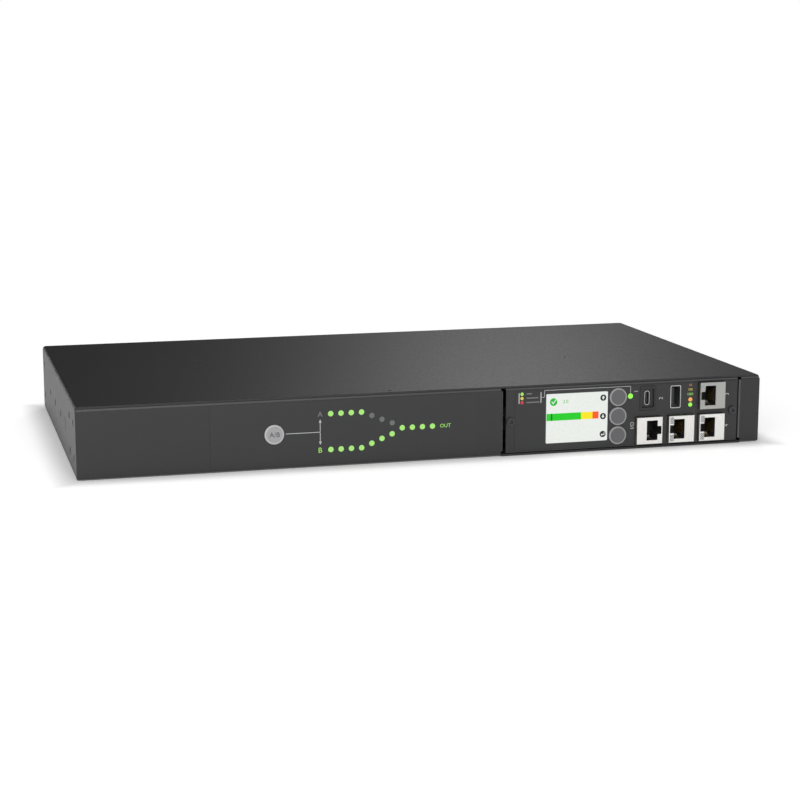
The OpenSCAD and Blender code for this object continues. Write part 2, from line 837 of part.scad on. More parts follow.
// Everything that passes through the faceplate and its film
module face_openings(y0, y1) {
    translate([window_x, 0, 0]) along_y(y0, y1) translate([0, window_z])
        round_rect(window_w + 2 * window_fit, window_h + 2 * window_fit, 0.6);
    for (spot = menu_keys) rod_y(spot[0], spot[1], y0, y1, menu_key_r + key_fit);
    rod_y(status_spot[0], status_spot[1], y0, y1, lens_r + lens_fit);
    for (spot = link_spots) rod_y(spot[0], spot[1], y0, y1, small_lens_r + lens_fit);
    for (spot = jack_spots) block([spot[0] - jack_fit, y0, spot[1] - jack_fit],
        [spot[0] + jack_w + jack_fit, y1, spot[1] + jack_h + jack_fit]);
    translate([console_x, 0, 0]) along_y(y0, y1) translate([0, socket_z])
        round_rect(bezel_w + 2 * socket_fit, bezel_h + 2 * socket_fit, bezel_r + socket_fit);
    translate([data_x, 0, 0]) along_y(y0, y1) translate([0, socket_z])
        square([data_w + 2 * socket_fit, data_h + 2 * socket_fit], center = true);
    for (x = module_screws_x) rod_y(x, panel_z, y0, y1, module_screw_r + 0.15);
}

module module_faceplate() {
    color("dimgray") difference() {
        along_x(face_x[0], face_x[1]) translate([front_y, face_z[0]])
            folded_wall(face_z[1] - face_z[0], face_flange_d, face_flange_d);
        face_openings(front_y - 1, inner_y + 1);
    }
}

module module_film() {
    x0 = face_x[0] + film_inset;
    h = module_film_z[1] - module_film_z[0];
    color([0.2, 0.2, 0.2]) difference() {
        block([x0, film_y, module_film_z[0]], [face_x[1] - 0.4, front_y, module_film_z[1]]);
        face_openings(film_y - 1, front_y + 1);
        rod_y(module_screws_x[1], panel_z, film_y - 1, front_y + 1, module_screw_head_r + 0.2);
    }
}

module module_board() {
    color("darkgreen") difference() {
        block([module_board_x[0], board_m_y, module_board_z[0]],
            [module_board_x[1], board_m_y + board_t, module_board_z[1]]);
        for (spot = pillar_spots_m) rod_y(spot[0], spot[1], board_m_y - 1, board_m_y + 3, standoff_bore);
    }
}

module module_screws() {
    color("black") for (x = module_screws_x) difference() {
        union() {
            rod_y(x, panel_z, front_y - module_screw_head_h, front_y, module_screw_head_r);
            rod_y(x, panel_z, front_y, front_y + module_screw_tip, module_screw_r);
        }
        translate([x, front_y - module_screw_head_h - 1, panel_z]) rotate([-90, 0, 0])
            cylinder(h = 2, r = 1.35, $fn = 6);
    }
}

module display_glass() {
    color("white") translate([window_x, 0, 0]) along_y(film_y, film_y + glass_t)
        translate([0, window_z]) round_rect(window_w, window_h, 0.5);
}

module display_panel() {
    color("gray") difference() {
        block([window_x - window_w / 2 - panel_rim, inner_y, window_z - window_h / 2 - panel_rim],
            [window_x + window_w / 2 + panel_rim_r, inner_y + display_t, window_z + window_h / 2 + panel_rim]);
        block([window_x - window_w / 2, inner_y - 1, window_z - window_h / 2],
            [window_x + window_w / 2, inner_y + 0.8, window_z + window_h / 2]);
    }
}

module display_carrier() {
    w = window_w + 2 * panel_rim - 4;
    h = window_h + 2 * panel_rim - 4;
    color("ivory") translate([window_x, 0, 0]) along_y(inner_y + display_t, board_m_y)
        translate([0, window_z]) difference() {
            round_rect(w, h, 2);
            round_rect(w - 2 * carrier_wall, h - 2 * carrier_wall, 1);
        }
}

module green_lenses() {
    color("lightgreen") {
        lens(status_spot, lens_r, board_m_y);
        lens(link_spots[1], small_lens_r, board_m_y);
    }
}

module speed_lens() {
    color("orange") lens(link_spots[0], small_lens_r, board_m_y);
}

// ---- Jacks and sockets ----

// Puts a jack's own axes, latch side at x = 0, on its spot, turned over where the spot says so
module at_jack(spot) {
    translate([spot[0] + (spot[2] ? jack_w : 0), 0, spot[1]]) mirror([spot[2], 0, 0]) children();
}

// Opening of the jack with its latch notch, in the face's own axes
module jack_opening() {
    translate([cavity_in, cavity_z]) square([cavity_w, cavity_h]);
    translate([cavity_in - notch_w, cavity_z + (cavity_h - notch_h) / 2]) square([notch_w + 1, notch_h]);
}

module jack_shield(spot) {
    color("gainsboro") at_jack(spot) {
        along_y(jack_y, jack_y + shield_t) difference() {
            square([jack_w, jack_h]);
            jack_opening();
        }
        along_y(jack_y + shield_t, board_m_y) difference() {
            square([jack_w, jack_h]);
            translate([shield_t, shield_t]) square([jack_w - 2 * shield_t, jack_h - 2 * shield_t]);
        }
    }
}

module jack_inserts() {
    in = shield_t + 0.02;
    color([0.12, 0.12, 0.12]) for (spot = jack_spots) at_jack(spot) difference() {
        block([in, jack_y + in, in], [jack_w - in, board_m_y, jack_h - in]);
        along_y(jack_y, jack_y + cavity_d) jack_opening();
    }
}

// Eight spring wires along the far side of each cavity
module jack_contacts() {
    color("gold") for (spot = jack_spots) at_jack(spot) for (k = [0 : contact_n - 1])
        translate([cavity_in + cavity_w, jack_y + cavity_d, cavity_z + cavity_h / 2
            + (k - (contact_n - 1) / 2) * contact_pitch])
            linear_extrude(contact_t, center = true) polygon([[0, 0], [-contact_t, 0],
                [-1.9, 2 - cavity_d / 2], [-1.9, 1.4 - cavity_d / 2], [0, 3 - cavity_d]]);
}

module console_bezel() {
    color([0.13, 0.13, 0.13]) translate([console_x, 0, 0]) difference() {
        along_y(film_y - 0.2, front_y + 3) translate([0, socket_z]) round_rect(bezel_w, bezel_h, bezel_r);
        along_y(film_y - 1, front_y + 1) translate([0, socket_z]) round_rect(bezel_w - 2.2, bezel_h - 3.4, 0.9);
        along_y(film_y, front_y + 4) translate([0, socket_z])
            round_rect(console_w + 0.1, console_h + 0.1, console_w / 2);
    }
}

module console_shell() {
    color("silver") translate([console_x, 0, 0]) {
        along_y(front_y + 1.2, board_m_y) translate([0, socket_z]) difference() {
            round_rect(console_w, console_h, console_w / 2 - 0.01);
            round_rect(console_w - 2 * console_wall, console_h - 2 * console_wall, console_w / 2 - console_wall - 0.01);
        }
    }
}

module data_shell() {
    color("silver") translate([data_x, 0, 0]) along_y(film_y, board_m_y) translate([0, socket_z])
        difference() {
            round_rect(data_w, data_h, 0.8);
            round_rect(data_w - 2 * data_wall, data_h - 2 * data_wall, 0.5);
        }
}

// Contact tongues of the two sockets, each on the plug of plastic that closes its shell
module socket_tongues() {
    back_y = board_m_y - 3;
    color([0.12, 0.12, 0.12]) {
        translate([data_x, 0, 0]) {
            along_y(back_y, board_m_y) translate([0, socket_z])
                round_rect(data_w - 2 * data_wall - 0.04, data_h - 2 * data_wall - 0.04, 0.5);
            block([-data_w / 2 + data_wall + 0.3, film_y + 1, socket_z - data_h / 2 + 1.4],
                [-data_w / 2 + data_wall + 0.3 + data_tongue_t, back_y, socket_z + data_h / 2 - 1.4]);
        }
        translate([console_x, 0, 0]) {
            along_y(back_y, board_m_y) translate([0, socket_z])
                round_rect(console_w - 2 * console_wall - 0.04, console_h - 2 * console_wall - 0.04,
                    console_w / 2 - console_wall - 0.03);
            block([-console_tongue_t / 2, front_y + 2, socket_z - 3.3],
                [console_tongue_t / 2, back_y, socket_z + 3.3]);
        }
    }
}

// ---- Rear connectors ----

// One outlet's recess round its core, with the three slots of the core, in front-view axes
module outlet_recess() {
    along_y(rear_y + connector_flange_t - outlet_d, rear_y + connector_flange_t + 1) difference() {
        mains_outline(core_w + 2 * core_gap, core_h + 2 * core_gap, outlet_bevel);
        mains_outline(core_w, core_h, outlet_bevel - 1);
    }
    along_y(rear_y + connector_flange_t - outlet_d + 1, rear_y + connector_flange_t + 1) {
        for (z = [-pin_pitch / 2, pin_pitch / 2]) translate([-slot_in, z])
            square([pin_h + 1, pin_w + 0.6], center = true);
        translate([slot_in, 0]) square([pin_h + 1, pin_w + 0.6], center = true);
    }
}

module outlet_bank(k) {
    color([0.12, 0.12, 0.12]) translate([bank_x[k], 0, panel_z]) difference() {
        union() {
            block([0, rear_y, -bank_h / 2], [bank_w, rear_y + connector_flange_t, bank_h / 2]);
            block([connector_lip, connector_y, -bank_h / 2 + connector_lip],
                [bank_w - connector_lip, rear_y + 0.01, bank_h / 2 - connector_lip]);
        }
        for (n = [0 : bank_outlets - 1])
            translate([(n + 0.5) * outlet_pitch, 0, 0]) outlet_recess();
    }
}

module mains_inlet(k) {
    color([0.12, 0.12, 0.12]) translate([inlet_x[k], 0, panel_z]) difference() {
        union() {
            block([-inlet_w / 2, rear_y, -inlet_h / 2], [inlet_w / 2, rear_y + connector_flange_t, inlet_h / 2]);
            block([-inlet_w / 2 + connector_lip, connector_y, -inlet_h / 2 + connector_lip],
                [inlet_w / 2 - connector_lip, rear_y + 0.01, inlet_h / 2 - connector_lip]);
        }
        along_y(rear_y + connector_flange_t - outlet_d, rear_y + connector_flange_t + 1) rotate(90)
            mains_outline(inlet_recess_h, inlet_recess_w, inlet_bevel);
    }
}

module inlet_pins() {
    y0 = rear_y + connector_flange_t - outlet_d;
    color("silver") for (x = inlet_x) for (pin = [[-pin_pitch / 2, -slot_in], [0, slot_in], [pin_pitch / 2, -slot_in]])
        block([x + pin[0] - pin_w / 2, y0, panel_z + pin[1] - pin_h / 2],
            [x + pin[0] + pin_w / 2, y0 + pin_l, panel_z + pin[1] + pin_h / 2]);
}

// Bent leg from the back of a connector down to the power board
module terminal(x, z) {
    block([x - terminal_w / 2, connector_y - terminal_l, z - terminal_w / 2],
        [x + terminal_w / 2, connector_y, z + terminal_w / 2]);
    block([x - terminal_w / 2, connector_y - terminal_l, board_top],
        [x + terminal_w / 2, connector_y - terminal_l + terminal_w, z + terminal_w / 2]);
}

module connector_terminals() {
    color("goldenrod") {
        for (x = bank_x) for (n = [0 : bank_outlets - 1]) {
            terminal(x + (n + 0.5) * outlet_pitch - 4, panel_z + pin_pitch / 2);
            terminal(x + (n + 0.5) * outlet_pitch, panel_z);
            terminal(x + (n + 0.5) * outlet_pitch + 4, panel_z - pin_pitch / 2 + 2);
        }
        for (x = inlet_x) {
            for (dx = [-pin_pitch / 2, pin_pitch / 2]) terminal(x + dx, panel_z - slot_in);
            terminal(x, panel_z + slot_in);
        }
    }
}

// Welded stud with its inner nut and the washer that an earth lead is clamped on
module earth_stud() {
    nut_h = 2.6;
    washer_t = 0.8;
    color("silver") translate([stud_x, 0, panel_z]) rotate([-90, 0, 0]) {
        translate([0, 0, rear_y - sheet_t - nut_h - 1]) cylinder(h = stud_l + sheet_t + nut_h + 1, r = stud_r);
        translate([0, 0, rear_y - sheet_t - nut_h]) cylinder(h = nut_h, r = stud_r * 2, $fn = 6);
        translate([0, 0, rear_y]) cylinder(h = washer_t, r = stud_r * 2.2);
    }
}

// ---- Power board ----

module board_holes() {
    for (spot = standoff_spots) translate([spot[0], spot[1], 0]) cylinder(h = body_h, r = standoff_bore);
    for (spot = post_screws) translate([spot[0], spot[1], 0]) cylinder(h = body_h, r = post_r + 1);
}

module power_board() {
    color("darkgreen") difference() {
        block([-board_x, board_y[0], board_z], [board_x, board_y[1], board_top]);
        board_holes();
    }
}

module board_standoffs() {
    color("silver") for (spot = standoff_spots) translate([spot[0], spot[1], 0]) {
        translate([0, 0, sheet_t]) cylinder(h = board_lift, r = standoff_r, $fn = 6);
        translate([0, 0, board_z]) cylinder(h = board_t, r = standoff_bore - 0.1);
        translate([0, 0, board_top]) cylinder(h = 1.8, r = standoff_bore + 1.2);
    }
}

module insulation_sheet() {
    color("wheat") difference() {
        block([-board_x, board_y[0], sheet_t], [board_x, board_y[1], sheet_t + insulation_t]);
        for (spot = standoff_spots) translate([spot[0], spot[1], 0]) cylinder(h = 5, r = standoff_r + 1);
        for (spot = post_screws) translate([spot[0], spot[1], 0]) cylinder(h = 5, r = post_r + 1);
    }
}

module transfer_relays() {
    color("white") for (spot = relay_spots) translate([spot[0], spot[1], 0]) {
        along_z(board_top + 0.6, board_top + relay_h) round_rect(relay_w, relay_l, 1.2);
        along_z(board_top, board_top + 0.6) round_rect(relay_w - 4, relay_l - 4, 1);
    }
}

// Laminated iron with a middle leg and two windows
module transformer_cores() {
    window = iron_w / 2 - 2 * iron_leg;
    color("gray") for (spot = transformer_spots) translate([spot[0], 0, board_top + iron_lift])
        along_y(spot[1] - iron_d / 2, spot[1] + iron_d / 2) difference() {
            translate([-iron_w / 2, 0]) square([iron_w, iron_h]);
            for (x = [-iron_leg - window, iron_leg])
                translate([x, iron_leg]) square([window, iron_h - 2 * iron_leg]);
        }
}

// Winding on its bobbin, round the middle leg, with two feet on the board
module transformer_coils() {
    coil_d = iron_d + 2 * coil_over;
    half = iron_w / 2 - iron_leg - coil_fit;
    low = iron_lift + iron_leg + coil_fit;
    color("khaki") for (spot = transformer_spots) translate([spot[0], spot[1], board_top]) difference() {
        union() {
            block([-half, -coil_d / 2, low], [half, coil_d / 2, low + iron_h - 2 * iron_leg - 2 * coil_fit]);
            for (y = [-coil_d / 2, coil_d / 2 - 3]) block([-half, y, 0], [half, y + 3, low + 1]);
        }
        block([-iron_leg - coil_fit, -iron_d / 2 - coil_fit, low - 1],
            [iron_leg + coil_fit, iron_d / 2 + coil_fit, low + iron_h]);
    }
}

module bulk_capacitors() {
    r = capacitor_r;
    color("midnightblue") for (spot = capacitor_spots) translate([spot[0], spot[1], board_top])
        rotate_extrude() polygon([[0, 0], [r - 0.4, 0], [r, 0.4], [r, 3], [r - 0.5, 3.5], [r, 4],
            [r, capacitor_h - 0.6], [r - 0.6, capacitor_h], [r - 1.2, capacitor_h],
            [r - 1.4, capacitor_h - 0.4], [0, capacitor_h - 0.4]]);
}

module film_capacitors() {
    color("goldenrod") for (spot = film_cap_spots) translate([spot[0], spot[1], 0])
        along_z(board_top, board_top + film_cap_size[2]) round_rect(film_cap_size[0], film_cap_size[1], 0.8);
}

// Ring core round a copper link, standing on the board
module current_sensors() {
    color("darkslategray") for (spot = sensor_spots) translate([spot[0], spot[1], board_top + sensor_r])
        rotate([90, 0, 0]) rotate_extrude() polygon([[sensor_bore_r + 1, -sensor_t / 2],
            [sensor_r - 1, -sensor_t / 2], [sensor_r, -sensor_t / 2 + 1], [sensor_r, sensor_t / 2 - 1],
            [sensor_r - 1, sensor_t / 2], [sensor_bore_r + 1, sensor_t / 2],
            [sensor_bore_r, sensor_t / 2 - 1], [sensor_bore_r, -sensor_t / 2 + 1]]);
}

// Flat cable from the back of a panel board down to the power board, with its two connectors
module ribbon(x, board_y) {
    y0 = board_y + board_t;
    y1 = board_edge_y + 8;
    r = 4;
    plug = 6;
    top = panel_z;
    along_x(x - ribbon_w / 2, x + ribbon_w / 2) {
        translate([y0 + plug, top]) square([y1 - y0 - plug - r, ribbon_t]);
        translate([y1 - r, top - r + ribbon_t]) intersection() {
            difference() {
                circle(r);
                circle(r - ribbon_t);
            }
            square(r);
        }
        translate([y1 - ribbon_t, board_top + plug]) square([ribbon_t, top - r + ribbon_t - board_top - plug]);
    }
    block([x - ribbon_w / 2 - 3, y0, top - 2.5], [x + ribbon_w / 2 + 3, y0 + plug, top + 3.4]);
    block([x - ribbon_w / 2 - 3, y1 - 3.4, board_top], [x + ribbon_w / 2 + 3, y1 + 2.5, board_top + plug]);
}

module ribbon_cables() {
    color("lightgray") {
        ribbon(panel_ribbon_x, board_a_y);
        ribbon(module_x0 + module_ribbon_in, board_m_y);
    }
}

// ---- Build ----
base_chassis();
top_cover();
cover_screws();
cover_posts();
locating_tabs();
panel_film();
indicator_board();
panel_pillars();
board_leds();
path_a_lit_lenses();
path_a_dark_lenses();
path_b_lenses();
output_lenses();
preference_key();
preference_plunger();
tact_switches();
module_faceplate();
module_film();
module_board();
module_screws();
display_glass();
display_panel();
display_carrier();
menu_key(0);  // up_key
menu_plunger(0);  // up_plunger
menu_key(1);  // down_key
menu_plunger(1);  // down_plunger
menu_key(2);  // select_key
menu_plunger(2);  // select_plunger
green_lenses();
speed_lens();
jack_shield(jack_spots[0]);  // network_jack
jack_shield(jack_spots[1]);  // serial_jack
jack_shield(jack_spots[2]);  // chain_in_jack
jack_shield(jack_spots[3]);  // chain_out_jack
jack_inserts();
jack_contacts();
console_bezel();
console_shell();
data_shell();
socket_tongues();
power_board();
board_standoffs();
insulation_sheet();
outlet_bank(0);  // outlet_bank_left
outlet_bank(1);  // outlet_bank_middle
outlet_bank(2);  // outlet_bank_right
connector_terminals();
mains_inlet(0);  // source_a_inlet
mains_inlet(1);  // source_b_inlet
inlet_pins();
earth_stud();
transfer_relays();
transformer_cores();
transformer_coils();
bulk_capacitors();
film_capacitors();
current_sensors();
ribbon_cables();
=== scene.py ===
"""Dresses the rack transfer switch: its coats, films, mouldings and metals, its print and its lit screen."""

import logging
import math
from collections.abc import Callable, Iterable, Sequence
from dataclasses import dataclass, field
from enum import Enum

import bpy
import numpy as np
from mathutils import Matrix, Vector

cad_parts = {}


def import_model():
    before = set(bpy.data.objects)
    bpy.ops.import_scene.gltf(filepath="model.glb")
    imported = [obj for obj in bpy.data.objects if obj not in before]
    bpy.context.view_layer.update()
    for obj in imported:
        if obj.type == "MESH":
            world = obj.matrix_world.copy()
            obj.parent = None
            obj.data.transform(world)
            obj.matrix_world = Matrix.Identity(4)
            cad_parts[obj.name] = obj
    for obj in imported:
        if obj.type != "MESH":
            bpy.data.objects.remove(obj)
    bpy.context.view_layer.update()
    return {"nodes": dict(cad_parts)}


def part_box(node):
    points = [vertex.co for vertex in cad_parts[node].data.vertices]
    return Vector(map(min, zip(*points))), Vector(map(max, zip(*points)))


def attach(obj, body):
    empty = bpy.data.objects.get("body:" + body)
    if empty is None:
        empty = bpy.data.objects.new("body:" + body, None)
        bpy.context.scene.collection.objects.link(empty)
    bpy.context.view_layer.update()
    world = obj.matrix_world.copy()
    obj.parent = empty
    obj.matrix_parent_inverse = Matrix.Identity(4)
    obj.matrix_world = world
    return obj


LOG = logging.getLogger("scene")
MM = 0.001
INK = 0.03  # thickness of printed ink in millimetres

Colour = tuple[float, float, float]
Points = np.ndarray
Shape = Callable[[Points, Points], tuple[Points, Points, Points]]
Socket = bpy.types.NodeSocket


# ---- node trees


class Recipe:
    """Node tree of one material, with short calls for the nodes that the finishes share."""

    def __init__(self, name: str) -> None:
        """Makes an empty material with its shader.

        Args:
            name: Name of the material.
        """
        self.material = bpy.data.materials.new(name)
        self.material.use_nodes = True
        self.tree = self.material.node_tree
        self.shader = self.tree.nodes["Principled BSDF"]

    def node(self, kind: str, **settings: object) -> bpy.types.Node:
        """Adds a node and sets its own properties.

        Args:
            kind: Blender's name of the node type, without its prefix.
            **settings: Properties of the node.

        Returns:
            The new node.
        """
        made = self.tree.nodes.new("ShaderNode" + kind)
        for key, value in settings.items():
            setattr(made, key, value)
        return made

    def feed(self, socket: Socket, value: "Socket | float | Sequence[float]") -> None:
        """Links a socket to another, or sets its own value."""
        if isinstance(value, bpy.types.NodeSocket):
            self.tree.links.new(value, socket)
        else:
            socket.default_value = value

    def place(self, stretch: Sequence[float] = (1, 1, 1), centre: Sequence[float] = (0, 0, 0)) -> Socket:
        """Object coordinates in millimetres.

        Args:
            stretch: Factor along each axis.
            centre: Point in millimetres that becomes the origin.

        Returns:
            The socket that gives the vector.
        """
        coordinates = self.node("TexCoord").outputs["Object"]
        mapping = self.node("Mapping")
        self.feed(mapping.inputs["Vector"], coordinates)
        scale = [factor / MM for factor in stretch]
        self.feed(mapping.inputs["Scale"], scale)
        self.feed(mapping.inputs["Location"], [-c * factor for c, factor in zip(centre, stretch)])
        return mapping.outputs["Vector"]

    def noise(self, where: Socket, size: float, detail: float = 2.0, rough: float = 0.5) -> Socket:
        """Noise between 0 and 1, with features of a size in millimetres."""
        made = self.node("TexNoise")
        self.feed(made.inputs["Vector"], where)
        self.feed(made.inputs["Scale"], 1 / size)
        self.feed(made.inputs["Detail"], detail)
        self.feed(made.inputs["Roughness"], rough)
        return made.outputs["Fac"]

    def math(self, kind: str, a: "Socket | float", b: "Socket | float" = 0.0) -> Socket:
        """One step of arithmetic on two numbers."""
        made = self.node("Math", operation=kind)
        self.feed(made.inputs[0], a)
        self.feed(made.inputs[1], b)
        return made.outputs[0]

    def span(self, value: Socket, low: float, high: float, out_low: float, out_high: float) -> Socket:
        """Maps one range of a number smoothly onto another."""
        made = self.node("MapRange", interpolation_type="SMOOTHSTEP")
        limits = {"From Min": low, "From Max": high, "To Min": out_low, "To Max": out_high}
        for name, number in limits.items():
            self.feed(made.inputs[name], number)
        self.feed(made.inputs["Value"], value)
        return made.outputs["Result"]

    def blend(self, share: Socket, first: "Socket | Colour", second: "Socket | Colour") -> Socket:
        """Colour that goes from the first to the second as the share goes from 0 to 1."""
        made = self.node("Mix", data_type="RGBA")
        self.feed(made.inputs["Factor"], share)
        for socket, colour in ((made.inputs[6], first), (made.inputs[7], second)):
            self.feed(socket, colour if isinstance(colour, bpy.types.NodeSocket) else (*colour, 1.0))
        return made.outputs[2]

    def parts(self, vector: Socket) -> tuple[Socket, Socket, Socket]:
        """The three numbers of a vector."""
        made = self.node("SeparateXYZ")
        self.feed(made.inputs[0], vector)
        return made.outputs[0], made.outputs[1], made.outputs[2]

    def relief(self, height: Socket, strength: float, depth: float) -> None:
        """Bumps the surface by a height, of a depth in millimetres."""
        made = self.node("Bump")
        self.feed(made.inputs["Strength"], strength)
        self.feed(made.inputs["Distance"], depth * MM)
        self.feed(made.inputs["Height"], height)
        self.feed(self.shader.inputs["Normal"], made.outputs["Normal"])


# ---- finishes


@dataclass(frozen=True)
class Finish:
    """Moulded or coated surface: a colour with faint mottling, a fine grain and a gloss that varies a little.

    The mottling mixes the colour with a lighter one by broad noise. The grain is fine noise, used as relief.
    """

    name: str
    colour: Colour
    roughness: float = 0.5
    grain: float = 0.3
    relief: float = 0.15
    mottle: float = 0.12
    metallic: float = 0.0
    specular: float = 0.5
    coat: float = 0.0

    def build(self) -> bpy.types.Material:
        """Makes the material.

        Returns:
            The new material.
        """
        recipe = Recipe(self.name)
        self.base(recipe)
        self.surface(recipe)
        return recipe.material

    def base(self, recipe: Recipe) -> None:
        """Sets the numbers that are the same all over the surface."""
        inputs = recipe.shader.inputs
        inputs["Metallic"].default_value = self.metallic
        inputs["Specular IOR Level"].default_value = self.specular
        inputs["Coat Weight"].default_value = self.coat
        inputs["Coat Roughness"].default_value = 0.08

    def lighter(self) -> Colour:
        """The colour that the mottling reaches."""
        return tuple(min(1.0, c * (1 + self.mottle) + 0.02 * self.mottle) for c in self.colour)

    def surface(self, recipe: Recipe) -> None:
        """Adds the pattern of colour, gloss and relief."""
        where = recipe.place()
        broad = recipe.noise(where, 14.0, 3.0)
        fine = recipe.noise(where, self.grain, 2.0)
        recipe.feed(recipe.shader.inputs["Base Color"], recipe.blend(broad, self.colour, self.lighter()))
        gloss = recipe.span(fine, 0.3, 0.7, self.roughness - 0.05, self.roughness + 0.05)
        recipe.feed(recipe.shader.inputs["Roughness"], gloss)
        recipe.relief(fine, self.relief, self.grain * 0.3)


@dataclass(frozen=True)
class PowderCoat(Finish):
    """Baked powder: an orange-peel wave under a fine grain, with rare pale specks, and bends painted paler as
    a painted highlight and made smoother.

    The relief is broad noise plus a share of fine noise. Specks show where fine noise passes a high level.
    A bend is where no part of the surface's own direction is near one: the coat there is painted paler, a
    painted highlight along the bend, and is smoother.
    """

    peel: float = 1.1
    # Paler colour of the bends: a painted highlight along each bend.
    bend_highlight_colour: Colour = (0.11, 0.11, 0.112)
    bend_roughness: float = 0.2

    def surface(self, recipe: Recipe) -> None:
        """Adds the peel, the grain and the specks."""
        where = recipe.place()
        broad = recipe.noise(where, 60.0, 3.0)
        peel = recipe.noise(where, self.peel, 1.0)
        fine = recipe.noise(where, self.grain, 2.0)
        ground = recipe.blend(broad, self.colour, self.lighter())
        specks = recipe.span(fine, 0.66, 0.78, 0.0, 0.25)
        pale = tuple(c * 2.2 + 0.01 for c in self.colour)
        direction = recipe.node("TexCoord").outputs["Normal"]
        facing = [recipe.math("ABSOLUTE", part) for part in recipe.parts(direction)]
        flat = recipe.math("MAXIMUM", recipe.math("MAXIMUM", facing[0], facing[1]), facing[2])
        bend = recipe.span(flat, 0.8, 0.97, 1.0, 0.0)
        coat = recipe.blend(specks, ground, pale)
        # Bends take the paler colour, a painted highlight; the lower roughness below is the coat's own.
        recipe.feed(recipe.shader.inputs["Base Color"], recipe.blend(bend, coat, self.bend_highlight_colour))
        gloss = recipe.span(peel, 0.3, 0.7, self.roughness - 0.04, self.roughness + 0.04)
        bend_smoothing = recipe.math("MULTIPLY", bend, self.bend_roughness - self.roughness)
        recipe.feed(recipe.shader.inputs["Roughness"], recipe.math("ADD", gloss, bend_smoothing))
        height = recipe.math("ADD", recipe.math("MULTIPLY", fine, 0.35), peel)
        recipe.relief(height, self.relief, self.peel * 0.03)


class Axis(Enum):
    """Direction that a metal was brushed or rolled in, as the factors of its pattern."""

    WIDTH = (0.04, 1.0, 1.0)
    DEPTH = (1.0, 0.04, 1.0)
    HEIGHT = (1.0, 1.0, 0.04)


@dataclass(frozen=True)
class PlatedSteel(Finish):
    """Plated sheet or wire: fine lines along the way it was rolled, under soft clouds of the plating.

    Noise is stretched along one axis for the lines. Broad noise shifts colour and gloss.
    """

    grain: float = 0.22
    roughness: float = 0.34
    relief: float = 0.08
    metallic: float = 1.0
    rolled: Axis = Axis.DEPTH

    def surface(self, recipe: Recipe) -> None:
        """Adds the rolled lines and the clouds."""
        where = recipe.place()
        lines = recipe.noise(recipe.place(self.rolled.value), self.grain, 3.0, 0.6)
        clouds = recipe.noise(where, 3.5, 2.0)
        recipe.feed(recipe.shader.inputs["Base Color"], recipe.blend(clouds, self.colour, self.lighter()))
        gloss = recipe.math("ADD", recipe.span(lines, 0.3, 0.7, self.roughness - 0.07, self.roughness + 0.07),
                            recipe.math("MULTIPLY", clouds, 0.06))
        recipe.feed(recipe.shader.inputs["Roughness"], gloss)
        recipe.relief(lines, self.relief, self.grain * 0.2)


@dataclass(frozen=True)
class LitGuide(Finish):
    """Clear guide with a lamp behind it: its own glow, a little uneven, under a glossy face."""

    glow: float = 0.8
    body_share: float = 0.5
    roughness: float = 0.25

    def surface(self, recipe: Recipe) -> None:
        """Adds the uneven glow."""
        cloud = recipe.noise(recipe.place(), 1.6, 2.0)
        deep = tuple(c * 0.94 for c in self.colour)
        shade = recipe.blend(recipe.span(cloud, 0.3, 0.7, 0.0, 1.0), deep, self.colour)
        recipe.shader.inputs["Base Color"].default_value = (*(c * self.body_share for c in self.colour), 1.0)
        recipe.feed(recipe.shader.inputs["Emission Color"], shade)
        recipe.shader.inputs["Emission Strength"].default_value = self.glow
        recipe.shader.inputs["Roughness"].default_value = self.roughness


@dataclass(frozen=True)
class KeyCap(Finish):
    """Round key: a pale rim round a darker dish, both satin.

    The share of the rim is the distance from the key's own axis, taken in the plane of the panel.
    """

    rim: Colour = (0.5, 0.5, 0.5)
    centre: tuple[float, float] = (0.0, 0.0)
    radius: float = 5.0
    band: float = 0.8

    def surface(self, recipe: Recipe) -> None:
        """Adds the rim and the grain."""
        where = recipe.place(centre=(self.centre[0], 0.0, self.centre[1]))
        x, _, z = recipe.parts(where)
        squares = [recipe.math("MULTIPLY", part, part) for part in (x, z)]
        reach = recipe.math("SQRT", recipe.math("ADD", *squares))
        edge = self.radius - self.band
        share = recipe.span(reach, edge - 0.12, edge + 0.12, 0.0, 1.0)
        fine = recipe.noise(where, self.grain, 2.0)
        broad = recipe.noise(where, 5.0, 2.0)
        dish = recipe.blend(broad, self.colour, self.lighter())
        recipe.feed(recipe.shader.inputs["Base Color"], recipe.blend(share, dish, self.rim))
        gloss = recipe.span(fine, 0.3, 0.7, self.roughness - 0.04, self.roughness + 0.04)
        recipe.feed(recipe.shader.inputs["Roughness"], gloss)
        recipe.relief(fine, self.relief, self.grain * 0.25)


@dataclass(frozen=True)
class CircuitBoard(Finish):
    """Green board: straight tracks under the mask, and tinned spots on a grid.

    Tracks are the level lines of a stretched noise. Spots are the cells of a regular grid near their middle.
    """

    roughness: float = 0.32

    def surface(self, recipe: Recipe) -> None:
        """Adds tracks and spots."""
        where = recipe.place()
        tracks = recipe.node("TexBrick", offset=0.37, squash=0.6)
        recipe.feed(tracks.inputs["Vector"], where)
        recipe.feed(tracks.inputs["Scale"], 0.11)
        recipe.feed(tracks.inputs["Mortar Size"], 0.025)
        cells = recipe.node("TexVoronoi", feature="F1")
        recipe.feed(cells.inputs["Vector"], where)
        recipe.feed(cells.inputs["Scale"], 0.28)
        spots = recipe.span(cells.outputs["Distance"], 0.18, 0.22, 1.0, 0.0)
        ground = recipe.blend(tracks.outputs["Fac"], self.colour, self.lighter())
        recipe.feed(recipe.shader.inputs["Base Color"], recipe.blend(spots, ground, (0.6, 0.6, 0.56)))
        recipe.shader.inputs["Roughness"].default_value = self.roughness
        recipe.relief(tracks.outputs["Fac"], 0.2, 0.05)


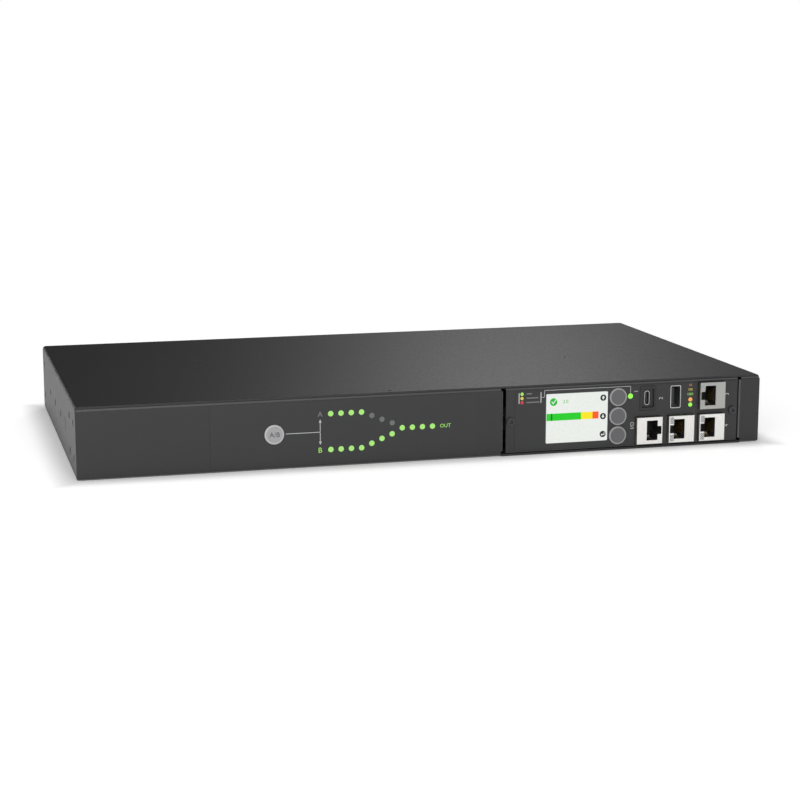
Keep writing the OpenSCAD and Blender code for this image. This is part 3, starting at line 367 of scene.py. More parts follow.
@dataclass(frozen=True)
class Layered(Finish):
    """Wound, stacked or ribbed surface: even ridges across one axis, with faint noise."""

    ridge: float = 1.0
    across: int = 1

    def surface(self, recipe: Recipe) -> None:
        """Adds the ridges: the sine of the place across them."""
        where = recipe.place()
        axis = recipe.parts(where)[self.across]
        wave = recipe.math("SINE", recipe.math("MULTIPLY", axis, 2 * math.pi / self.ridge))
        cloud = recipe.noise(where, 4.0, 2.0)
        share = recipe.math("ADD", recipe.math("MULTIPLY", wave, 0.35), cloud)
        recipe.feed(recipe.shader.inputs["Base Color"], recipe.blend(share, self.colour, self.lighter()))
        recipe.shader.inputs["Roughness"].default_value = self.roughness
        recipe.relief(wave, self.relief, self.ridge * 0.2)


@dataclass(frozen=True)
class DottedLight(Finish):
    """Pale light window in a jack's face: a close grid of darker dots.

    The dots are where the product of two sines, across and up the face, is high.
    """

    pitch: float = 1.25

    def surface(self, recipe: Recipe) -> None:
        """Adds the dots."""
        x, _, z = recipe.parts(recipe.place())
        turn = 2 * math.pi / self.pitch
        across = recipe.math("SINE", recipe.math("MULTIPLY", x, turn))
        up = recipe.math("SINE", recipe.math("MULTIPLY", z, turn))
        dots = recipe.span(recipe.math("MULTIPLY", across, up), 0.0, 0.3, 0.0, 1.0)
        dark = tuple(c * 0.06 for c in self.colour)
        recipe.feed(recipe.shader.inputs["Base Color"], recipe.blend(dots, self.colour, dark))
        recipe.shader.inputs["Roughness"].default_value = self.roughness
        recipe.relief(dots, -0.4, 0.08)


BLACK_COAT = PowderCoat("black_coat", (0.021, 0.021, 0.022), roughness=0.47, grain=0.3, relief=0.12,
                        mottle=0.1)
PRINTED_FILM = Finish("printed_film", (0.021, 0.021, 0.0225), roughness=0.4, grain=0.18, relief=0.1,
                      mottle=0.08)
ZINC = PlatedSteel("zinc_plate", (0.62, 0.63, 0.62), mottle=0.15)
NICKEL = PlatedSteel("nickel_plate", (0.8, 0.79, 0.76), roughness=0.3, mottle=0.1, rolled=Axis.HEIGHT)
# Darker copy of the nickel plate: painted shade, standing in for the dimmer reflection on the network jack.
SHADED_NICKEL = PlatedSteel("shaded_nickel", (0.42, 0.42, 0.4), roughness=0.34, mottle=0.12, rolled=Axis.HEIGHT)
BLACK_OXIDE = PlatedSteel("black_oxide", (0.035, 0.035, 0.037), roughness=0.36, mottle=0.4, rolled=Axis.WIDTH,
                          metallic=0.4)
BLACK_PLASTIC = Finish("black_plastic", (0.016, 0.016, 0.017), roughness=0.46, grain=0.25, relief=0.2,
                       mottle=0.2)
WHITE_PLASTIC = Finish("white_plastic", (0.7, 0.69, 0.65), roughness=0.45, mottle=0.06)
LAMP_BODY = Finish("lamp_body", (0.72, 0.7, 0.6), roughness=0.4, mottle=0.08)
DARK_GUIDE = Finish("dark_guide", (0.12, 0.125, 0.122), roughness=0.25, grain=0.6, relief=0.05, coat=0.3)
GREEN_GUIDE = LitGuide("green_guide", (0.36, 0.76, 0.17), glow=0.62)
BRIGHT_GREEN_GUIDE = LitGuide("bright_green_guide", (0.3, 0.9, 0.08), glow=0.7)
ORANGE_GUIDE = LitGuide("orange_guide", (0.95, 0.4, 0.1), glow=0.6)
SCREEN_GLOW = LitGuide("screen_glow", (0.84, 0.87, 0.83), glow=0.66, body_share=0.35, roughness=0.12)
SCREEN_FRAME = PlatedSteel("screen_frame", (0.55, 0.56, 0.57), rolled=Axis.WIDTH)
BOARD = CircuitBoard("circuit_board", (0.02, 0.14, 0.06), mottle=0.5)
GOLD = PlatedSteel("gold_plate", (0.83, 0.62, 0.24), roughness=0.28, mottle=0.1)
COPPER = PlatedSteel("copper_alloy", (0.72, 0.42, 0.2), roughness=0.35, mottle=0.3, rolled=Axis.HEIGHT)
CLEAR_SHEET = Finish("clear_sheet", (0.6, 0.56, 0.4), roughness=0.3, mottle=0.15)
IRON = Layered("laminated_iron", (0.2, 0.2, 0.21), roughness=0.45, mottle=0.6, ridge=0.5, relief=0.3)
WINDING = Layered("taped_winding", (0.66, 0.5, 0.16), roughness=0.4, mottle=0.3, ridge=6.0, across=2,
                  relief=0.1)
SLEEVE = Finish("capacitor_sleeve", (0.02, 0.035, 0.1), roughness=0.22, mottle=0.3, coat=0.3)
YELLOW_CASE = Finish("yellow_case", (0.66, 0.47, 0.09), roughness=0.45, mottle=0.1)
FERRITE = Finish("coated_core", (0.05, 0.11, 0.1), roughness=0.4, mottle=0.2)
FLAT_CABLE = Layered("flat_cable", (0.38, 0.38, 0.39), roughness=0.5, mottle=0.25, ridge=1.27, across=0,
                     relief=0.5)

NODE_FINISHES: dict[Finish, tuple[str, ...]] = {
    BLACK_COAT: ("base_chassis", "top_cover", "module_faceplate"),
    PRINTED_FILM: ("panel_film", "module_film"),
    ZINC: ("cover_posts", "locating_tabs", "panel_pillars", "board_standoffs", "inlet_pins", "earth_stud",
           "console_shell", "data_shell"),
    # The network jack gets the darker copy of the nickel: painted shade.
    SHADED_NICKEL: ("network_jack",),
    NICKEL: ("serial_jack", "chain_in_jack", "chain_out_jack"),
    BLACK_OXIDE: ("cover_screws", "module_screws"),
    BLACK_PLASTIC: ("tact_switches", "jack_inserts", "console_bezel", "socket_tongues", "outlet_bank_left",
                    "outlet_bank_middle", "outlet_bank_right", "source_a_inlet", "source_b_inlet"),
    WHITE_PLASTIC: ("preference_plunger", "up_plunger", "down_plunger", "select_plunger", "display_carrier",
                    "transfer_relays"),
    LAMP_BODY: ("board_leds",),
    DARK_GUIDE: ("path_a_dark_lenses",),
    GREEN_GUIDE: ("path_a_lit_lenses", "path_b_lenses", "output_lenses"),
    BRIGHT_GREEN_GUIDE: ("green_lenses",),
    ORANGE_GUIDE: ("speed_lens",),
    SCREEN_GLOW: ("display_glass",),
    SCREEN_FRAME: ("display_panel",),
    BOARD: ("indicator_board", "module_board", "power_board"),
    GOLD: ("jack_contacts",),
    COPPER: ("connector_terminals",),
    CLEAR_SHEET: ("insulation_sheet",),
    IRON: ("transformer_cores",),
    WINDING: ("transformer_coils",),
    SLEEVE: ("bulk_capacitors",),
    YELLOW_CASE: ("film_capacitors",),
    FERRITE: ("current_sensors",),
    FLAT_CABLE: ("ribbon_cables",),
}


class Wardrobe:
    """Keeps one material for each finish."""

    def __init__(self) -> None:
        """Starts with no material."""
        self.made: dict[Finish, bpy.types.Material] = {}

    def material(self, finish: Finish) -> bpy.types.Material:
        """The material of a finish, made the first time that it is asked for."""
        if finish not in self.made:
            self.made[finish] = finish.build()
        return self.made[finish]

    def dress(self, piece: bpy.types.Object, finish: Finish) -> None:
        """Gives a piece one finish all over."""
        piece.data.materials.clear()
        piece.data.materials.append(self.material(finish))


# ---- shapes on a face


def millimetres(node: str) -> tuple[np.ndarray, np.ndarray]:
    """Lowest and highest corner of a node at rest, in millimetres."""
    low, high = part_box(node)
    return np.array(low) / MM, np.array(high) / MM


def arc(centre: Sequence[float], radius: float, start: float = 0.0, turn: float = 360.0,
        steps: int = 48) -> Points:
    """Points on a circle: the centre plus the radius times the cosine and sine of an evenly growing angle.

    Args:
        centre: Middle of the circle in the plane of the panel.
        radius: Its radius.
        start: First angle in degrees, from +X towards +Z.
        turn: Angle that the arc covers. A full turn leaves out the last point, which is the first one again.
        steps: Steps along the arc.

    Returns:
        The points, one row each.
    """
    closed = abs(turn) >= 360.0
    shares = np.linspace(0.0, 1.0, steps + (0 if closed else 1), endpoint=not closed)
    angles = np.radians(start + turn * shares)
    return np.stack([centre[0] + radius * np.cos(angles), centre[1] + radius * np.sin(angles)], axis=1)


def rounded_box(low: Sequence[float], high: Sequence[float], radius: float, steps: int = 8) -> Points:
    """Outline of a rectangle with round corners: four quarter arcs, one after the other."""
    corners = ((high[0] - radius, high[1] - radius, 0), (low[0] + radius, high[1] - radius, 90),
               (low[0] + radius, low[1] + radius, 180), (high[0] - radius, low[1] + radius, 270))
    return np.concatenate([arc((x, z), radius, start, 90.0, steps) for x, z, start in corners])


def stroke(route: Sequence[Sequence[float]], width: float) -> list[Points]:
    """Outlines of a line of even width: a rectangle for each stretch, longer by half the width at both ends.

    Args:
        route: Points that the line goes through.
        width: Width of the line.

    Returns:
        One outline for each stretch.
    """
    points = np.asarray(route, float)
    outlines = []
    for start, end in zip(points[:-1], points[1:]):
        way = (end - start) / np.linalg.norm(end - start)
        side = np.array([-way[1], way[0]]) * width / 2
        tip = way * width / 2
        head, tail = start - tip, end + tip
        outlines.append(np.array([head - side, tail - side, tail + side, head + side]))
    return outlines


def flat_box(low: Sequence[float], high: Sequence[float]) -> Points:
    """Outline of a rectangle: its four corners, counter-clockwise from the lowest."""
    return np.array([[low[0], low[1]], [high[0], low[1]], [high[0], high[1]], [low[0], high[1]]])


def counter_clockwise(outline: Points) -> Points:
    """The outline, turned to run counter-clockwise as seen from the front of the panel."""
    x, z = outline[:, 0], outline[:, 1]
    area = np.sum(x * np.roll(z, -1) - z * np.roll(x, -1))
    return outline if area > 0 else outline[::-1]


class Workshop:
    """Makes pieces from arrays of points, dresses them and puts them on a body."""

    def __init__(self, wardrobe: Wardrobe) -> None:
        """Keeps the wardrobe and an empty list of pieces.

        Args:
            wardrobe: Gives the materials.
        """
        self.wardrobe = wardrobe
        self.pieces: list[bpy.types.Object] = []

    def finish_piece(self, name: str, mesh: bpy.types.Mesh, finish: Finish,
                     body: str = "chassis") -> bpy.types.Object:
        """Turns a mesh into a dressed piece of the object.

        Args:
            name: Name of the piece.
            mesh: Its mesh, with its place in its points.
            finish: Its finish.
            body: Body that it moves with.

        Returns:
            The new object.
        """
        piece = bpy.data.objects.new(name, mesh)
        bpy.context.scene.collection.objects.link(piece)
        self.wardrobe.dress(piece, finish)
        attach(piece, body)
        self.pieces.append(piece)
        LOG.info("made %s: %d faces on %s", name, len(mesh.polygons), body)
        return piece

    def print_on(self, name: str, outlines: Iterable[Points], level: float, finish: Finish, slot: str,
                 body: str = "chassis", thick: float = INK) -> bpy.types.Object:
        """Prints outlines on a face that looks to the front, as a film of ink with closed edges.

        Each outline gives a front face, a back face, and a side face for each of its edges.

        Args:
            name: Name of the piece.
            outlines: Closed outlines across and up the panel, in millimetres.
            level: Depth of the face that carries the print, in millimetres.
            finish: Finish of the ink.
            slot: Name of a material slot; not used.
            body: Body that it moves with.
            thick: Thickness of the ink in millimetres.

        Returns:
            The new object.
        """
        vertices: list[np.ndarray] = []
        faces: list[list[int]] = []
        first = 0
        for outline in outlines:
            flat = counter_clockwise(np.asarray(outline, float))
            count = len(flat)
            for depth in (level - thick, level):
                vertices.append(np.stack([flat[:, 0], np.full(count, depth), flat[:, 1]], axis=1))
            near = np.arange(count) + first
            far = near + count
            faces.append(near.tolist())
            faces.append(far[::-1].tolist())
            sides = np.stack([near, far, np.roll(far, -1), np.roll(near, -1)], axis=1)
            faces.extend(sides.tolist())
            first += 2 * count
        mesh = bpy.data.meshes.new(name)
        mesh.from_pydata((np.concatenate(vertices) * MM).tolist(), [], faces)
        mesh.update()
        return self.finish_piece(name, mesh, finish, body)

    def surface(self, name: str, shape: Shape, steps: tuple[int, int], finish: Finish, slot: str,
                thick: float, body: str = "chassis") -> bpy.types.Object:
        """Makes a surface from a function of two parameters, each from 0 to 1, on an even grid.

        Args:
            name: Name of the piece.
            shape: Gives X, Y and Z in millimetres for arrays of the two parameters.
            steps: Steps of the grid along each parameter.
            finish: Finish of the piece.
            slot: Name of a material slot; not used.
            thick: Thickness that is added behind the surface, in millimetres.
            body: Body that it moves with.

        Returns:
            The new object.
        """
        counts = [n + 1 for n in steps]
        u, v = np.meshgrid(*(np.linspace(0.0, 1.0, n) for n in counts), indexing="ij")
        points = np.stack([np.broadcast_to(part, u.shape) for part in shape(u, v)], axis=-1)
        index = np.arange(u.size).reshape(counts)
        quads = np.stack([index[:-1, :-1], index[1:, :-1], index[1:, 1:], index[:-1, 1:]], axis=-1)
        mesh = bpy.data.meshes.new(name)
        mesh.from_pydata((points.reshape(-1, 3) * MM).tolist(), [], quads.reshape(-1, 4).tolist())
        mesh.update()
        mesh.shade_smooth()
        piece = self.finish_piece(name, mesh, finish, body)
        wall = piece.modifiers.new("thickness", "SOLIDIFY")
        wall.thickness = thick * MM
        wall.offset = -1.0
        return piece

    def letters(self, name: str, text: str, centre: Sequence[float], height: float, level: float,
                finish: Finish, slot: str, body: str = "chassis", upright: bool = True) -> bpy.types.Object:
        """Prints plain letters or numbers on a face that looks to the front.

        Args:
            name: Name of the piece.
            text: The letters.
            centre: Their middle across and up the panel, in millimetres.
            height: Height of a capital in millimetres.
            level: Depth of the face that carries the print, in millimetres.
            finish: Finish of the ink.
            slot: Name of a material slot; not used.
            body: Body that they move with.
            upright: False where the line of letters runs up the panel.

        Returns:
            The new object.
        """
        curve = bpy.data.curves.new(name, "FONT")
        curve.body = text
        curve.align_x, curve.align_y = "CENTER", "CENTER"
        curve.resolution_u = 3
        holder = bpy.data.objects.new(name, curve)
        bpy.context.scene.collection.objects.link(holder)
        bpy.context.view_layer.update()
        mesh = bpy.data.meshes.new_from_object(holder.evaluated_get(bpy.context.evaluated_depsgraph_get()))
        bpy.data.objects.remove(holder)
        flat = np.empty(len(mesh.vertices) * 3)
        mesh.vertices.foreach_get("co", flat)
        flat = flat.reshape(-1, 3)
        low, high = flat.min(0), flat.max(0)
        flat = (flat - (low + high) / 2) * (height / (high[1] - low[1]))
        x, z = (flat[:, 0], flat[:, 1]) if upright else (-flat[:, 1], flat[:, 0])
        placed = np.stack([x + centre[0], np.full(len(flat), level - INK), z + centre[1]], axis=1) * MM
        mesh.vertices.foreach_set("co", placed.ravel())
        mesh.name = name
        mesh.update()
        return self.finish_piece(name, mesh, finish, body)


# ---- printed panel


PALE_INK = Finish("pale_ink", (0.52, 0.52, 0.52), roughness=0.5, grain=0.12, relief=0.05, mottle=0.1)
DIM_INK = Finish("dim_ink", (0.19, 0.19, 0.195), roughness=0.5, grain=0.12, relief=0.05, mottle=0.1)
DARK_INK = Finish("dark_ink", (0.06, 0.055, 0.07), roughness=0.5, grain=0.12, relief=0.05, mottle=0.1)
GREEN_INK = Finish("green_ink", (0.4, 0.85, 0.16), roughness=0.5, grain=0.12, relief=0.05, mottle=0.1)
RED_INK = Finish("red_ink", (0.62, 0.035, 0.05), roughness=0.48, grain=0.12, relief=0.05, mottle=0.1)
YELLOW_INK = Finish("yellow_ink", (0.75, 0.62, 0.1), roughness=0.5, grain=0.12, relief=0.05, mottle=0.1)
ORANGE_INK = Finish("orange_ink", (0.75, 0.3, 0.05), roughness=0.5, grain=0.12, relief=0.05, mottle=0.1)


@dataclass
class MimicPrint:
    """Print of the mimic panel: the line from the key, the double arrow, and the letters of the paths."""

    shop: Workshop
    line_w: float = 0.4
    arrow_x: float = -70.9
    arrow_z: tuple[float, float] = (13.6, 29.3)
    head: tuple[float, float] = (0.85, 2.1)
    letter_h: float = 3.1
    letter_z: tuple[float, float] = (32.4, 10.4)
    out_x: float = 7.3
    out_h: float = 2.3
    key_gap: float = 1.0
    key_letter_h: float = 3.0
    key_dish: float = 0.25
    level: float = field(init=False)

    def __post_init__(self) -> None:
        """Finds the face of the film."""
        self.level = millimetres("panel_film")[0][1]

    def build(self) -> None:
        """Prints the panel."""
        key_low, key_high = millimetres("preference_key")
        middle = (key_low[2] + key_high[2]) / 2
        half_w, head_h = self.head
        low, high = self.arrow_z
        left, right = self.arrow_x - half_w, self.arrow_x + half_w
        heads = [np.array([[self.arrow_x, tip], [left, root], [right, root]])
                 for tip, root in ((high, high - head_h), (low, low + head_h))]
        lines = stroke([(key_high[0] + self.key_gap, middle), (self.arrow_x, middle)], self.line_w)
        lines += stroke([(self.arrow_x, low + head_h), (self.arrow_x, high - head_h)], self.line_w)
        self.shop.print_on("mimic_lines", heads + lines, self.level, PALE_INK, "panel_film")
        for name, text, z, ink in (("path_a_letter", "A", self.letter_z[0], DIM_INK),
                                   ("path_b_letter", "B", self.letter_z[1], GREEN_INK)):
            self.shop.letters(name, text, (self.arrow_x, z), self.letter_h, self.level, ink, "panel_film")
        self.shop.letters("output_letters", "OUT", (self.out_x, middle), self.out_h, self.level, GREEN_INK,
                          "panel_film")
        self.shop.letters("key_letters", "A/B", ((key_low[0] + key_high[0]) / 2, middle), self.key_letter_h,
                          key_low[1] + self.key_dish, DARK_INK, "key_light", body="preference_button")


# ---- display screen


@dataclass
class DisplayPicture:
    """Picture on the lit screen: a tick, a number, a load bar in three colours, and the three key signs."""

    shop: Workshop
    bar_z: tuple[float, float] = (20.6, 25.1)
    bar_x: tuple[float, ...] = (72.5, 95.2, 102.8, 106.8)
    mark_x: tuple[float, float] = (75.4, 76.3)
    tick: tuple[float, float] = (77.0, 32.4)
    tick_r: float = 2.4
    tick_bends: tuple[tuple[float, float], ...] = ((-1.1, 0.1), (-0.2, -1.0), (1.3, 1.2))
    tick_w: float = 0.6
    reading_in: float = 8.0
    reading_h: float = 2.1
    sign_x: float = 109.8
    sign_z: tuple[float, float, float] = (33.6, 21.9, 10.5)
    sign_r: float = 2.0
    head: tuple[float, float] = (1.05, 1.25)
    shaft: tuple[float, float] = (0.42, 1.0)
    hook_drop: float = -0.35
    hook_in: float = 0.95
    level: float = field(init=False)

    def __post_init__(self) -> None:
        """Finds the face of the glass."""
        self.level = millimetres("display_glass")[0][1]

    def draw(self, name: str, outlines: Iterable[Points], colour: Colour, lit: str,
             above: float = 0.0) -> None:
        """Draws outlines in a lit colour, so many millimetres above the glass."""
        self.shop.print_on(name, outlines, self.level - above, self.glow(lit, colour), "screen")

    def glow(self, name: str, colour: Colour) -> Finish:
        """Finish of a lit colour on the screen."""
        return LitGuide(name, colour, glow=0.75, body_share=0.25, roughness=0.5)

    def build(self) -> None:
        """Draws the picture on the face of the glass."""
        self.load_bar()
        self.tick_and_reading()
        discs = [arc((self.sign_x, z), self.sign_r) for z in self.sign_z]
        self.draw("sign_discs", discs, SCREEN_BLACK, "lit_dark")
        self.draw("sign_marks", self.signs(), SCREEN_WHITE, "lit_white", INK)

    def load_bar(self) -> None:
        """Draws the three stretches of the bar and the mark on it."""
        low, high = self.bar_z
        for name, colour, start, end in zip(("bar_green", "bar_yellow", "bar_orange"), BAR_COLOURS,
                                            self.bar_x[:-1], self.bar_x[1:]):
            self.draw(name, [flat_box((start, low), (end, high))], colour, "lit_" + name)
        mark = flat_box((self.mark_x[0], low), (self.mark_x[1], high))
        self.draw("bar_mark", [mark], MARK_GREEN, "lit_mark", INK)

    def tick_and_reading(self) -> None:
        """Draws the disc with its tick, and the number beside it."""
        x, z = self.tick
        bends = [(x + across, z + up) for across, up in self.tick_bends]
        self.draw("tick_disc", [arc(self.tick, self.tick_r)], TICK_GREEN, "lit_tick")
        self.draw("tick_mark", stroke(bends, self.tick_w), SCREEN_WHITE, "lit_white", INK)
        self.shop.letters("screen_reading", "3.0", (x + self.reading_in, z), self.reading_h, self.level,
                          self.glow("lit_tick", TICK_GREEN), "screen")

    def signs(self) -> list[Points]:
        """Outlines of the three signs: an arrow up, an arrow down and a hooked arrow."""
        x = self.sign_x
        up, down, hook = self.sign_z
        half, tip = self.head
        half_shaft, length = self.shaft
        outlines = []
        for z, way in ((up, 1), (down, -1)):
            outlines.append(np.array([[x, z + tip * way], [x - half, z], [x + half, z]]))
            outlines.append(flat_box((x - half_shaft, z), (x + half_shaft, z - length * way)))
        root, foot = x - 0.3, hook + self.hook_drop
        bends = [(x + self.hook_in, hook + 0.8), (x + self.hook_in, foot), (root, foot)]
        outlines += stroke(bends, half_shaft)
        outlines.append(np.array([[root - 1.0, foot], [root, foot + 0.85], [root, foot - 0.85]]))
        return outlines


SCREEN_BLACK: Colour = (0.004, 0.004, 0.004)
SCREEN_WHITE: Colour = (0.85, 0.87, 0.88)
TICK_GREEN: Colour = (0.0, 0.5, 0.01)
MARK_GREEN: Colour = (0.0, 0.12, 0.005)
BAR_COLOURS: tuple[Colour, ...] = ((0.0, 0.62, 0.005), (1.0, 0.82, 0.0), (1.0, 0.1, 0.005))


# ---- module's print


@dataclass
class ModulePrint:
    """Print of the display module: legend of the status lamp, leader line, speeds and port numbers."""

    shop: Workshop
    dots_x: float = 56.4
    dots_z: tuple[float, float, float] = (38.4, 35.7, 33.0)
    dot_r: float = 1.05
    word_x: float = 59.2
    word_l: tuple[float, float, float] = (3.6, 7.8, 8.6)
    word_half: float = 0.35
    word_r: float = 0.34
    bars_x: tuple[float, float] = (54.2, 68.4)
    bar_w: float = 0.6
    leader_x: float = 71.0
    leader_z: float = 40.0
    leader_w: float = 0.28
    lamp_in: float = 1.9
    lamp_gap: float = 0.4
    speed_x: float = 168.4
    speed_h: float = 1.5
    speed_z: tuple[float, float, float] = (38.9, 36.0, 33.1)
    number_h: float = 2.4
    level: float = field(init=False)

    def __post_init__(self) -> None:
        """Finds the face of the film."""
        self.level = millimetres("module_film")[0][1]

    def build(self) -> None:
        """Prints the module."""
        self.legend()
        self.leader()
        self.numbers()

    def legend(self) -> None:
        """Prints the dots and the bars that stand for the words beside them."""
        inks = {"legend_green": GREEN_INK, "legend_yellow": YELLOW_INK, "legend_red": RED_INK}
        for (name, ink), z in zip(inks.items(), self.dots_z):
            dot = arc((self.dots_x, z), self.dot_r, steps=32)
            self.shop.print_on(name, [dot], self.level, ink, "panel_film")
        x, half = self.word_x, self.word_half
        words = [rounded_box((x, z - half), (x + length, z + half), self.word_r)
                 for z, length in zip(self.dots_z, self.word_l)]
        self.shop.print_on("legend_words", words, self.level, DIM_INK, "panel_film")

    def leader(self) -> None:
        """Prints the brackets of the legend and the line from them to the status lamp."""
        low, high = self.dots_z[2] - self.bar_w, self.dots_z[0] + self.bar_w
        bars = [flat_box((x, low), (x + self.bar_w, high)) for x in self.bars_x]
        lamp_low, lamp_high = millimetres("green_lenses")
        lamp_x = lamp_low[0] + self.lamp_in
        start = (self.bars_x[1] + self.bar_w, self.dots_z[1])
        route = [start, (self.leader_x, start[1]), (self.leader_x, self.leader_z), (lamp_x, self.leader_z),
                 (lamp_x, lamp_high[2] + self.lamp_gap)]
        bars += stroke(route, self.leader_w)
        self.shop.print_on("legend_lines", bars, self.level, PALE_INK, "panel_film")

    def numbers(self) -> None:
        """Prints the speeds beside the link lamps and a number beside each port."""
        speeds = {"speed_ten": ("10", ORANGE_INK), "speed_hundred": ("100", YELLOW_INK),
                  "speed_thousand": ("1000", GREEN_INK)}
        for (name, (text, ink)), z in zip(speeds.items(), self.speed_z):
            self.shop.letters(name, text, (self.speed_x, z), self.speed_h, self.level, ink, "panel_film")
        ports = {"port_one": ("1", (131.6, 36.6)), "port_two": ("2", (148.4, 31.4)),
                 "port_io": ("I/O", (129.3, 15.0)), "port_three": ("3", (193.6, 31.9)),
                 "port_four": ("4", (193.6, 11.6))}
        for name, (text, centre) in ports.items():
            self.shop.letters(name, text, centre, self.number_h, self.level, PALE_INK, "panel_film",
                              upright=False)


# ---- trim of a jack


@dataclass
class JackTrim:
    """What sits in a jack's face: two dotted light windows and the sprung finger at its opening's foot."""

    shop: Workshop
    node: str
    turned: bool = False
    lit: bool = True
    cavity: tuple[float, float] = (3.2, 7.3)
    window: tuple[float, float] = (2.5, 4.2)
    window_r: float = 0.25
    window_t: float = 0.12
    edge: float = 0.75
    finger_w: float = 3.4
    finger_t: float = 0.18
    finger_foot: float = 2.3
    finger_front: float = 0.05
    finger_deep: float = 4.6
    finger_rise: float = 2.4
    finger_lean: float = -1.1
    finger_taper: float = 0.35

    def build(self) -> None:
        """Makes the windows and the finger."""
        low, high = millimetres(self.node)
        if self.lit:
            self.windows(low, high)
        self.finger(low, high)

    def windows(self, low: np.ndarray, high: np.ndarray) -> None:
        """Sets a window in each corner of the face beside the notch.

        Args:
            low: Lowest corner of the jack.
            high: Highest corner of the jack.
        """
        width, height = self.window
        x0 = high[0] - self.edge - width if self.turned else low[0] + self.edge
        outlines = [rounded_box((x0, z), (x0 + width, z + height), self.window_r, 4)
                    for z in (low[2] + self.edge, high[2] - self.edge - height)]
        self.shop.print_on(self.node + "_lights", outlines, low[1], LIGHT_WINDOW, "lamp_body",
                           thick=self.window_t)

    def finger(self, low: np.ndarray, high: np.ndarray) -> None:
        """Bends the finger: it leaves the lower edge of the opening and curls up into the cavity.

        Its section is a quarter of an ellipse: depth grows with the sine and height with one less the cosine.

        Args:
            low: Lowest corner of the jack.
            high: Highest corner of the jack.
        """
        start, width = self.cavity
        left = high[0] - start - width if self.turned else low[0] + start
        middle = left + width / 2
        foot = low[2] + self.finger_foot
        front = low[1] + self.finger_front

        def shape(u: Points, v: Points) -> tuple[Points, Points, Points]:
            """A strip across u, bent along v, that narrows and leans on its way in."""
            taper = 1.0 - self.finger_taper * v
            x = middle + (u - 0.5) * self.finger_w * taper + self.finger_lean * v
            y = front + self.finger_deep * np.sin(v * math.pi / 2)
            z = foot + self.finger_rise * (1 - np.cos(v * math.pi / 2)) ** 0.8
            return x, y, z

        self.shop.surface(self.node + "_finger", shape, (6, 18), FINGER, "jack_shield", self.finger_t)


LIGHT_WINDOW = DottedLight("light_window", (0.62, 0.64, 0.62), roughness=0.35)
FINGER = PlatedSteel("finger_plate", (0.86, 0.85, 0.82), roughness=0.26, mottle=0.08)


# ---- keys


@dataclass
class Keys:
    """Caps of the four push keys, each with its own rim and dish."""

    wardrobe: Wardrobe
    band: float = 0.95
    preference_r: float = 5.9
    menu_r: float = 5.7
    menu_x: float = 119.6

    def build(self) -> None:
        """Dresses each key about its own axis."""
        low, high = millimetres("preference_key")
        self.dress("preference_key", (0.36, 0.36, 0.37), (0.56, 0.56, 0.56), (low[0] + high[0]) / 2,
                   self.preference_r)
        for node in ("up_key", "down_key", "select_key"):
            self.dress(node, (0.115, 0.115, 0.12), (0.33, 0.33, 0.33), self.menu_x, self.menu_r)

    def dress(self, node: str, dish: Colour, rim: Colour, x: float, radius: float) -> None:
        """Gives one key its cap.

        Args:
            node: Name of the key.
            dish: Colour of its middle.
            rim: Colour of its rim.
            x: Place of its axis across the panel, in millimetres.
            radius: Radius of the cap.
        """
        low, high = millimetres(node)
        cap = KeyCap(node + "_cap", dish, roughness=0.42, grain=0.2, relief=0.1, mottle=0.08, rim=rim,
                     centre=(x, (low[2] + high[2]) / 2), radius=radius, band=self.band)
        self.wardrobe.dress(bpy.data.objects[node], cap)


# ---- studio


@dataclass(frozen=True)
class Lamp:
    """Rectangular soft lamp: where it hangs, what it looks at, its size in metres and its power in watts."""

    name: str
    place: tuple[float, float, float]
    size: tuple[float, float]
    power: float
    target: tuple[float, float, float] = (0.0, 0.0, 0.02)

    def hang(self) -> None:
        """Makes the lamp."""
        data = bpy.data.lights.new(self.name, "AREA")
        data.shape = "RECTANGLE"
        data.size, data.size_y = self.size
        data.energy = self.power
        lamp = bpy.data.objects.new(self.name, data)
        bpy.context.scene.collection.objects.link(lamp)
        lamp.location = self.place
        lamp.rotation_mode = "QUATERNION"
        lamp.rotation_quaternion = (Vector(self.target) - Vector(self.place)).to_track_quat("-Z", "Y")


LAMPS = (
    Lamp("front_lamp", (-0.45, -1.75, 1.0), (1.6, 0.8), 25.0),
    Lamp("left_lamp", (-1.7, 0.1, 0.6), (0.9, 1.2), 6.2),
    Lamp("rear_lamp", (0.56, 1.4, 1.1), (0.34, 0.9), 4.2, (0.0, 0.0, 0.03)),
)


